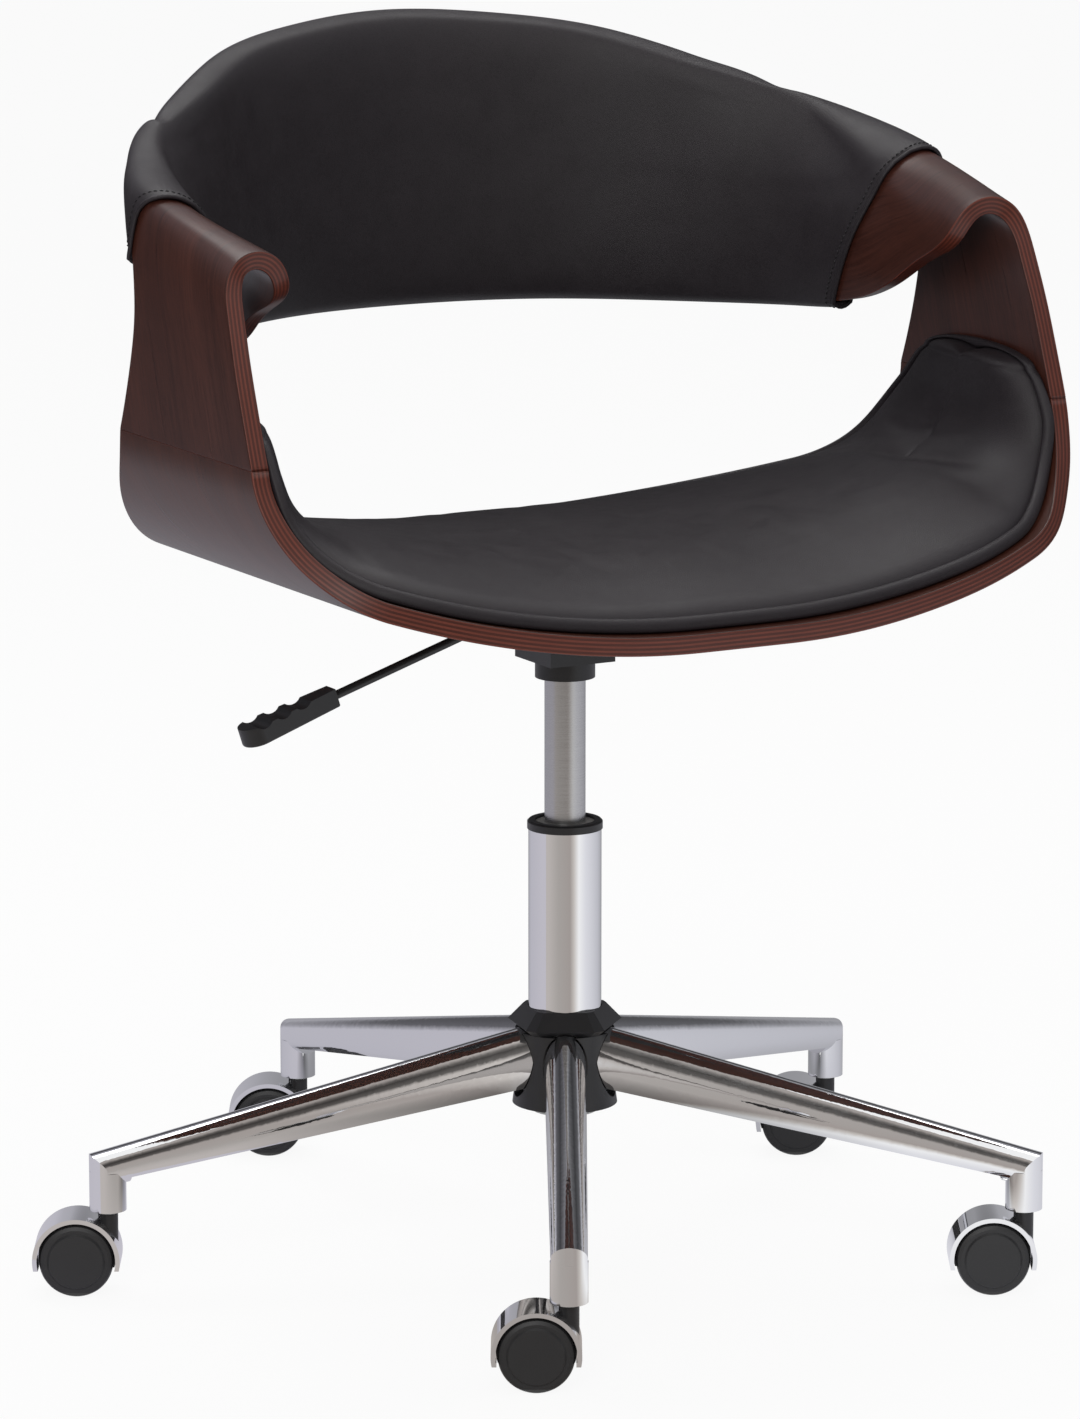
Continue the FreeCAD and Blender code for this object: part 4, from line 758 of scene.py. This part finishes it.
def seat_rays():
    """Rays from the seat cushion's outline to its middle line, in the unrolled U.

    Each is an outer point, an inner point, how far it looks to the rear from
    -1 to 1, and its share along the U.
    """
    scale = WING_EDGES[-1][0] / WING_END
    end = WING_END - TIP_INSET / FULL
    half = np.linspace(-1, 1, SEAT_RAYS)
    half = np.sign(half) * (1 - (1 - np.abs(half)) ** RAY_CROWDING) * end
    front, rear = WING_FRONT_EDGE(half * scale), WING_REAR_EDGE(half * scale)
    middle = (front + rear) / 2
    run = half * FULL
    rays = [((a, b), (a, c), -1.0, a / FULL) for a, b, c in zip(run, front, middle)]
    tips = []
    for side, k in ((1, -1), (-1, 0)):
        reach, centre = (rear[k] - front[k]) / 2, np.array((run[k], middle[k]))
        fan = []
        for angle in np.linspace(-90, 90, TIP_RAYS)[1:-1] * side:
            t = math.radians(angle)
            rim = centre + np.array((side * TIP_REACH * math.cos(t), reach * math.sin(t)))
            fan.append((tuple(rim), tuple(centre), math.sin(t), run[k] / FULL))
        tips.append(fan)
    back = [((a, b), (a, c), 1.0, a / FULL) for a, b, c in zip(run, rear, middle)][::-1]
    return rays + tips[0] + back + tips[1]


# Distances inwards from the seam, and the number of steps from the last of them to the middle
PAD_STEPS = (0.5, 1.2, 2.2, 3.8, 6.2, 9.5, 14, 20)
MIDDLE_STEPS = 13
PAD_NARROW = 70  # a pad that reaches less far than this has smaller steps
PAD_CROWN, WING_DROP, WING_POWER = 32.0, 13.0, 3.2  # height, less towards the wings' tips
PAD_POWER, REAR_POWER, REAR_DROP = 3.7, 0.7, 0.22  # how full the pad is, and the rear less so
PAD_LIP, LIP_LENGTH = 3.5, 2.6  # the quick rise of the leather beside the seam
PAD_GAP = 0.5  # between the shell and the cushion
SEWN_ROWS = 4  # rows past the seam that the thread still holds
LOOSENING = [0.15, 0.4, 0.7]  # the rows after those


def seat_cushion():
    """Cover of the seat: each ray runs from under the pad, up its border and over it."""
    rows, loose = [], []
    for rim, core, side, place in seat_rays():
        rim, core = np.array(rim), np.array(core)
        reach = np.linalg.norm(core - rim)
        inward = (core - rim) / reach
        far = abs(place) / WING_END
        tall = 1 - 0.30 * far**4
        wide = 1 - 0.25 * far**4
        crown = PAD_CROWN - WING_DROP * far**WING_POWER
        seam = BORDER[-1][1] * tall
        left = reach - BORDER[-1][0] * wide
        squeeze = min(1.0, left / PAD_NARROW)
        steps = np.concatenate((np.array(PAD_STEPS) * squeeze, np.zeros(MIDDLE_STEPS)))
        named = len(PAD_STEPS)
        first = steps[named - 1]
        slowing = np.sin(np.linspace(0, math.pi / 2, MIDDLE_STEPS + 1)[1:])
        steps[named:] = first + (left - first) * slowing
        power = PAD_POWER - REAR_POWER * side
        a = np.clip(1 - steps / left, 0, 1)
        height = seam + (crown - seam - PAD_LIP) * (1 - a**power) * (1 - REAR_DROP * side * a)
        height += PAD_LIP * (1 - np.exp(-steps / (LIP_LENGTH * squeeze)))
        line = [(reach, 0.0), (reach * 0.5, 0.0), (8.0 * wide, 0.0)]
        held = len(line) + len(BORDER) + SEWN_ROWS
        line += [(d * wide, h * tall) for d, h in BORDER]
        line += [(BORDER[-1][0] * wide + x, h) for x, h in zip(steps, height)]
        free = [0.0] * held + LOOSENING + [1.0] * (len(line) - held - len(LOOSENING))
        spot = rim + inward * np.array([d for d, _ in line])[:, None]
        base, up = profile(spot[:, 0])
        base[:, 1] = spot[:, 1]
        rows.append(base + up * (np.array([h for _, h in line]) + PLY + PAD_GAP)[:, None])
        loose.append(np.array(free) * (1 - 0.8 * far**6))
    rows, loose = np.array(rows), np.array(loose)
    rows = np.concatenate((rows, rows[:1]))
    obj = grid_object("seat_cushion_cover", rows, LEATHER)
    free = np.concatenate((loose, loose[:1])).ravel()
    bm = bmesh.new()
    bm.from_mesh(obj.data)
    layer = bm.verts.layers.float.new("free")
    bm.verts.ensure_lookup_table()
    for vert, value in zip(bm.verts, free):
        vert[layer] = value
    bmesh.ops.remove_doubles(bm, verts=bm.verts, dist=0.00004)
    bmesh.ops.recalc_face_normals(bm, faces=bm.faces)
    free = [vert[layer] for vert in bm.verts]
    bm.to_mesh(obj.data)
    bm.free()
    cloth_settle(obj, free, 2.5, 0.001, 0.003)
    wrinkle(obj, free, 0.0005)
    finish_cushion(obj, "seat_cushion")


# The back's cover: its mouths slope back as they rise, the sitter's right one lies
# further back, and the fold beside that one is stuffed fuller
MOUTH_Y, MOUTH_SLOPE, MOUTH_Z = 27, 0.35, 690
MOUTH_SHIFT = 0.008
FOLD_AT = RIB.row(22.0)
FOLD_SPREAD = 2.6 * (RIB.row(23) - RIB.row(22))
FOLD_FULLER = 19.0
HEM = 2.0  # how far the cover stands past the board's edges
SEAM_IN = 7.0  # from the mouth to the stitches
MOUTH_ROWS = 40  # rows among which the seam is looked for
TURNED_IN = 8  # rows of the cover folded into each mouth
RIM_POINTS = 5  # columns round each long edge
RIM_BULGE, RIM_SHARE = 3.5, 0.3  # at most, and as a share of the sleeve's thickness
BACK_RUNS, RUN_CROWDING = 221, 0.80  # loops from mouth to mouth, closer together at the mouths
HEM_RADIUS, HEM_SINK, HEM_SIDES = 1.5, 0.2, 8
HALVINGS = 40


def mouth_station(share):
    """Where the back cover's sloping mouth crosses the ribbon."""
    low = np.full_like(share, RIB.row(1))
    high = np.full_like(share, RIB.row(14))
    for _ in range(HALVINGS):
        middle = (low + high) / 2
        p = RIB.point(middle, np.clip(share, 0, 1))
        past = p[..., 1] > MOUTH_Y - MOUTH_SLOPE * (p[..., 2] - MOUTH_Z)
        high, low = np.where(past, middle, high), np.where(past, low, middle)
    return low


def cord(name, path, normals):
    """The hem's round cord of leather along a closed path of points."""
    ahead = unit(np.roll(path, -1, 0) - np.roll(path, 1, 0))
    up = unit(normals - (normals * ahead).sum(1, keepdims=True) * ahead)
    out = np.cross(ahead, up)
    rings = []
    for k in range(HEM_SIDES):
        angle = 2 * math.pi * k / HEM_SIDES
        rings.append(path + HEM_RADIUS * (math.cos(angle) * out + math.sin(angle) * up))
    points = np.stack(rings, 1)
    points = np.concatenate((points, points[:1]))
    obj = grid_object(name, points, LEATHER, closed=True)
    clean_mesh(obj.data, 0.00001)
    return smooth(obj)


# A stitch: its length, the step to the next, its half width, and four stations
# along it with their share of the width and their height over the leather
STITCH, PITCH, THREAD_RADIUS = 2.6, 3.9, 0.42
STITCH_STATIONS = ((0, 0.45, -0.15), (0.2, 1.0, 0.22), (0.8, 1.0, 0.22), (1, 0.45, -0.15))
STITCH_SIDES = 6


def stitch_line(name, path, normals):
    """Separate stitches along a path on a surface."""
    steps = np.linalg.norm(np.diff(path, axis=0), axis=1)
    along = np.concatenate(((0,), np.cumsum(steps)))
    shares = np.array([share for share, _, _ in STITCH_STATIONS])
    count, sides = len(shares), STITCH_SIDES
    verts, faces = [], []
    for start in np.arange(0.0, along[-1] - STITCH, PITCH):
        at = start + STITCH * shares
        spots = np.stack([np.interp(at, along, path[:, k]) for k in range(3)], 1)
        ups = unit(np.stack([np.interp(at, along, normals[:, k]) for k in range(3)], 1))
        ahead = unit(spots[-1:] - spots[:1])
        out = np.cross(np.repeat(ahead, count, 0), ups)
        base = len(verts)
        for (_, width, lift), spot, up, side in zip(STITCH_STATIONS, spots, ups, out):
            thick = THREAD_RADIUS * width
            for k in range(sides):
                angle = 2 * math.pi * k / sides
                high = lift + thick * 0.8 * math.sin(angle)
                verts.append((spot + up * high + side * thick * math.cos(angle)) * MM)
        for row in range(base, base + (count - 1) * sides, sides):
            for k in range(sides):
                a, b = row + k, row + (k + 1) % sides
                faces.append((a, b, b + sides, a + sides))
        end = base + (count - 1) * sides
        faces += [tuple(range(base + sides - 1, base - 1, -1)), tuple(range(end, end + sides))]
    mesh = bpy.data.meshes.new(name)
    mesh.from_pydata([tuple(v) for v in verts], [], faces)
    mesh.materials.append(THREAD)
    obj = smooth(new_object(name, mesh))
    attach(obj, "seat")


def round_edge(v):
    """1 across a face of the sleeve and 0 at its long edges."""
    return np.sqrt(np.maximum(1 - np.abs(2 * v - 1) ** 7, 0))


def hemmed(run):
    """The leather thins to its rolled hem at both mouths."""
    near = min(run, 1 - run)
    return 1 - 0.35 * math.exp(-((near / 0.006) ** 2))


def front_offset(run, v, board):
    """The front face lies outside the board: leather, and foam where the sitter leans."""
    middle = math.sin(math.pi * run) ** 1.2
    cover = 4.2 * (0.35 + 0.65 * round_edge(v)) * hemmed(run)
    foam = 10.5 * middle * round_edge(v) ** 0.8 * (1 - 0.35 * np.abs(2 * v - 1) ** 3)
    return -(cover + foam)


def back_offset(run, v, board):
    """The rear face lies past the board, with a thinner pad."""
    full = 1 - 0.7 * (1 - math.sin(math.pi * run))
    return board + 1.4 + (2.6 * round_edge(v) * full + 0.6) * hemmed(run)


def rim(front_line, back_line, before, bulge):
    """Points round one long edge, bulging away from the line before it."""
    gap = back_line - front_line
    away = unit(front_line - before)
    parts = RIM_POINTS + 1
    return [
        front_line + gap * k / parts + away * bulge[:, None] * math.sin(math.pi * k / parts)
        for k in range(1, parts)
    ]


def closed_loop(front, back, bulge):
    """Front face, upper rim, back face and lower rim as closed rows of points."""
    low = rim(front[:, 0], back[:, 0], front[:, 3], bulge)
    high = rim(front[:, -1], back[:, -1], front[:, -4], bulge)
    return np.concatenate((front, np.stack(high, 1), back[:, ::-1], np.stack(low[::-1], 1)), 1)


def mouth_trim(name, ring, inner_ring, lines):
    """The rolled hem at a mouth, and the stitches a few millimetres inside it."""
    normal = unit(ring - inner_ring)
    hem = cord("back_hem_" + name, ring + normal * -HEM_SINK, normal)
    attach(hem, "seat")
    columns = lines.shape[1]
    steps = np.linalg.norm(np.diff(lines, axis=0), axis=2)
    depth_in = np.concatenate((np.zeros((1, columns)), np.cumsum(steps, 0)))
    seam = np.array([
        [np.interp(SEAM_IN, depth_in[:, j], lines[:, j, k]) for k in range(3)]
        for j in range(columns)
    ])
    seam, up = np.concatenate((seam, seam[:1])), np.concatenate((normal, normal[:1]))
    stitch_line("back_stitches_" + name, seam, up)


def back_cushion():
    """Stuffed sleeve: a closed loop round the board at each run from mouth to mouth."""
    runs = np.linspace(0, 1, BACK_RUNS)
    runs = runs - RUN_CROWDING * np.sin(2 * np.pi * runs) / (2 * np.pi)
    inner_places = np.linspace(0.07, 0.93, 36)
    places = np.concatenate(((0, 0.010, 0.025, 0.045), inner_places, (0.955, 0.975, 0.990, 1)))
    start = mouth_station(places)
    ends = start + MOUTH_SHIFT

    def side(margin, offset, fuller):
        rows = []
        for run in runs:
            station = start + (1 - start - ends) * run
            extra = fuller * math.exp(-(((station[-1] - FOLD_AT) / FOLD_SPREAD) ** 2))
            wanted = places * (1 + (2 * margin + extra) / RISE) - margin / RISE
            share = np.clip(wanted, 0, 1)
            past = ((wanted - share) * RISE)[:, None]
            spot = RIB.point(station, share) + RIB.across(station, share) * past
            board = RIB.depth(station, share)
            rows.append(spot + RIB.normal(station, share) * offset(run, places, board)[:, None])
        return np.array(rows)

    front, back = side(HEM, front_offset, FOLD_FULLER), side(HEM, back_offset, FOLD_FULLER)
    thick = np.linalg.norm(front[:, 0] - back[:, 0], axis=1)
    loop = closed_loop(front, back, np.minimum(thick * RIM_SHARE, RIM_BULGE))
    # The ends of the cover are turned in, a millimetre off the board
    inside = closed_loop(
        side(1.0, lambda run, v, board: -1.0 + 0 * v, 0.0),
        side(1.0, lambda run, v, board: board + 1.0, 0.0),
        np.zeros(len(runs)),
    )
    rows = np.concatenate((
        inside[TURNED_IN:0:-1], (inside[:1] + loop[:1]) / 2,
        loop,
        (inside[-1:] + loop[-1:]) / 2, inside[-2:-TURNED_IN - 1:-1],
    ))
    obj = grid_object("back_cushion_cover", rows, LEATHER, closed=True)
    # Only the stuffed faces are free to move; the hems and the turned-in ends are held
    n, columns = len(places), rows.shape[1]
    across = np.zeros(columns)
    stuffed = np.clip((0.5 - np.abs(places - 0.5) - 0.02) / 0.12, 0, 1)
    across[:n] = stuffed
    across[n + RIM_POINTS:2 * n + RIM_POINTS] = stuffed[::-1] * 0.4
    along = np.zeros(len(rows))
    near = np.minimum(runs, 1 - runs)
    along[TURNED_IN + 1:TURNED_IN + 1 + len(runs)] = np.clip((near - 0.012) / 0.06, 0, 1)
    free = (along[:, None] * across[None, :]).ravel()
    cloth_settle(obj, free, 2.0, 0.0, 0.002)
    wrinkle(obj, free, 0.00025)
    finish_cushion(obj, "back_cushion")
    mouth_trim("left", loop[0], inside[0], loop[1:MOUTH_ROWS])
    mouth_trim("right", loop[-1], inside[-1], loop[-2:-1 - MOUTH_ROWS:-1])


# Studio

CAMERA_AT = (-2.342, -4.190, 1.360)
CAMERA_TURN, CAMERA_DOWN = 29, 11.54  # degrees
LENS = 183.04
SKY = ((0.0, grey(0.45)), (0.35, grey(0.6)), (1.0, grey(1.0)))
WORLD_LIGHT = 0.55
FLOOR_WHITE = 0.92  # how much of its own white the floor shows, over the lit paper
FLOOR_REACH = 20.0


def card(turn, color):
    """A stop of the card ring: degrees to the right of the camera, as the chair sees it."""
    return (((turn - 90 - CAMERA_TURN + 180) % 360) / 360, color)


CARD_TONES = sorted([
    card(-175, (0.30, 0.30, 0.32)),
    card(-133, (0.52, 0.51, 0.57)),
    card(-75, (0.58, 0.56, 0.62)),
    card(-52, (0.54, 0.50, 0.48)),
    card(-20, (0.43, 0.40, 0.38)),
    card(16, (0.40, 0.36, 0.34)),
    card(28, (0.62, 0.58, 0.55)),
    card(44, (0.96, 0.96, 0.97)),
    card(68, (0.78, 0.78, 0.83)),
    card(125, (0.56, 0.56, 0.61)),
    card(160, (0.34, 0.34, 0.36)),
])
# The cards are darker at some heights, and near the column a painted shadow of the chair
# darkens the floor disc that the chrome reflects: stops of half the height, and of the distance
# from the column, in metres
CARD_HEIGHTS = (
    (0.0, grey(1.0)), (0.15, grey(1.0)), (0.22, grey(0.25)), (0.36, grey(0.12)), (0.46, grey(0.3)),
    (0.62, grey(0.9)), (0.875, grey(1.0)),
)
CARD_PAINTED_SHADOW = ((0.05, grey(0.45)), (0.22, grey(1.0)), (0.45, grey(1.0)))
# Radius and height of the ring's rows of points, from beside the column out and up
CARD_ROWS = ((0.03, 0.002), (0.30, 0.003), (0.46, 0.004), (0.98, 0.22), (0.98, 1.75))
CARD_TURNS = 96


def seen_directly(nodes, links):
    """1 for rays from the camera, or by way of gloss or clear pieces."""
    path = nodes.new("ShaderNodeLightPath")
    camera_ray, glossy, clear = [
        path.outputs[kind] for kind in ("Is Camera Ray", "Is Glossy Ray", "Is Transmission Ray")
    ]
    total = maths(nodes, links, "MAXIMUM", camera_ray, glossy)
    return maths(nodes, links, "MAXIMUM", total, clear)


def world():
    """Soft even light; white where the camera, gloss or clear pieces look."""
    made = bpy.data.worlds.new("studio")
    bpy.context.scene.world = made
    made.use_nodes = True
    nodes, links = made.node_tree.nodes, made.node_tree.links
    nodes.clear()
    out = nodes.new("ShaderNodeOutputWorld")
    height = nodes.new("ShaderNodeSeparateXYZ")
    links.new(nodes.new("ShaderNodeTexCoord").outputs["Generated"], height.inputs[0])
    sky = ramp(nodes, links, height.outputs["Z"], *SKY)
    light = nodes.new("ShaderNodeBackground")
    links.new(sky, light.inputs["Color"])
    light.inputs["Strength"].default_value = WORLD_LIGHT
    white = nodes.new("ShaderNodeBackground")
    plain(white.inputs["Color"], grey(1))
    white.inputs["Strength"].default_value = 1.0
    choose = nodes.new("ShaderNodeMixShader")
    links.new(seen_directly(nodes, links), choose.inputs[0])
    links.new(light.outputs[0], choose.inputs[1])
    links.new(white.outputs[0], choose.inputs[2])
    links.new(choose.outputs[0], out.inputs["Surface"])


def floor():
    """Paper floor that takes the shadows and looks nearly white."""
    mat, nodes, links, shader = material("paper_floor")
    out = nodes["Material Output"]
    plain(shader.inputs["Base Color"], grey(0.9))
    shader.inputs["Roughness"].default_value = 0.9
    glow = nodes.new("ShaderNodeEmission")
    glow.inputs["Strength"].default_value = 1.0
    seen = maths(nodes, links, "MULTIPLY", seen_directly(nodes, links), FLOOR_WHITE)
    blend = nodes.new("ShaderNodeMixShader")
    links.new(seen, blend.inputs[0])
    links.new(shader.outputs[0], blend.inputs[1])
    links.new(glow.outputs[0], blend.inputs[2])
    links.new(blend.outputs[0], out.inputs["Surface"])
    mesh = bpy.data.meshes.new("paper_floor")
    r = FLOOR_REACH
    mesh.from_pydata([(-r, -r, 0), (r, -r, 0), (r, r, 0), (-r, r, 0)], [], [(0, 1, 2, 3)])
    mesh.materials.append(mat)
    new_object("paper_floor", mesh)


def cards():
    """A ring of grey cards round the set, seen only in the gloss of the pieces."""
    mat, nodes, links, _ = material("studio_cards")
    out = nodes["Material Output"]
    place = nodes.new("ShaderNodeSeparateXYZ")
    links.new(object_place(nodes), place.inputs[0])
    turn = maths(nodes, links, "ARCTAN2", place.outputs["Y"], place.outputs["X"])
    half_turns = maths(nodes, links, "ADD", turn, math.pi)
    share = maths(nodes, links, "MULTIPLY", half_turns, 0.5 / math.pi)
    tone = ramp(nodes, links, share, *CARD_TONES)
    half_height = maths(nodes, links, "MULTIPLY", place.outputs["Z"], 0.5)
    fall = ramp(nodes, links, half_height, *CARD_HEIGHTS)
    reach = nodes.new("ShaderNodeVectorMath")
    reach.operation = "LENGTH"
    links.new(scaled(nodes, links, object_place(nodes), (1, 1, 0)), reach.inputs[0])
    # painted shadow: the floor disc is darker towards the column and stands in for the chair's
    # shadow seen in the chrome
    under = ramp(nodes, links, reach.outputs["Value"], *CARD_PAINTED_SHADOW)
    glow = nodes.new("ShaderNodeEmission")
    shade = mix(nodes, links, "MULTIPLY", 1.0, tone, fall)
    shade = mix(nodes, links, "MULTIPLY", 1.0, shade, under)
    links.new(shade, glow.inputs["Color"])
    links.new(glow.outputs[0], out.inputs["Surface"])
    turns = CARD_TURNS
    angles = [2 * math.pi * k / turns for k in range(turns)]
    verts = [(r * math.cos(t), r * math.sin(t), z) for r, z in CARD_ROWS for t in angles]
    faces = [
        (low + k, low + (k + 1) % turns, low + turns + (k + 1) % turns, low + turns + k)
        for low in range(0, turns * (len(CARD_ROWS) - 1), turns) for k in range(turns)
    ]
    mesh = bpy.data.meshes.new("studio_cards")
    mesh.from_pydata(verts, [], faces)
    mesh.materials.append(mat)
    obj = new_object("studio_cards", mesh)
    for kind in ("camera", "diffuse", "transmission", "volume_scatter", "shadow"):
        setattr(obj, "visible_" + kind, False)


def lamp(name, place, target, size, power):
    """A rectangular lamp, in metres and watts, that looks at its target."""
    data = bpy.data.lights.new(name, "AREA")
    data.shape = "RECTANGLE"
    data.size, data.size_y = size
    data.energy = power
    obj = new_object(name, data)
    obj.location = place
    aim = Vector(target) - Vector(place)
    obj.rotation_mode = "QUATERNION"
    obj.rotation_quaternion = aim.to_track_quat("-Z", "Y")


def camera():
    """The photograph's camera, as solved from the base."""
    data = bpy.data.cameras.new("camera")
    data.lens = LENS
    data.sensor_width = 36.0
    data.clip_end = 100
    obj = new_object("camera", data)
    bpy.context.scene.camera = obj
    turn, down = math.radians(CAMERA_TURN), math.radians(CAMERA_DOWN)
    level = math.cos(down)
    look = Vector((math.sin(turn) * level, math.cos(turn) * level, -math.sin(down)))
    side = Vector((math.cos(turn), -math.sin(turn), 0))
    up = side.cross(look)
    obj.matrix_world = Matrix((side, up, -look)).transposed().to_4x4()
    obj.location = CAMERA_AT


# Assembly

dress_nodes()

# Each board is drawn again with grain, round edges and layers, and replaces its plain node
arm_looks = [VENEER_ARM, EDGE]
boards = [
    (seat_board("seat_shell_veneer", 161, [VENEER_SEAT, EDGE]), "seat_shell"),
    (ribbon_board("arm_left_veneer", 0, 12, 141, arm_looks), "arm_left"),
    (ribbon_board("arm_right_veneer", 30, 18, 141, arm_looks), "arm_right"),
    (ribbon_board("back_board_veneer", 12, 18, 61, arm_looks), "back_board"),
]
for board, name in boards:
    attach(board, "seat")
    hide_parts(name)

seat_cushion()
back_cushion()

world()
floor()
cards()
lamp("key", (-2.4, -3.0, 2.3), (0, 0, 0.6), (2.0, 2.0), 64)
lamp("fill", (3.0, -1.6, 1.8), (0, 0, 0.5), (1.6, 2.4), 14)
lamp("top", (0.2, 1.2, 3.2), (0, 0, 0.5), (2.6, 1.6), 34)
camera()

bpy.context.scene.view_settings.view_transform = "Standard"
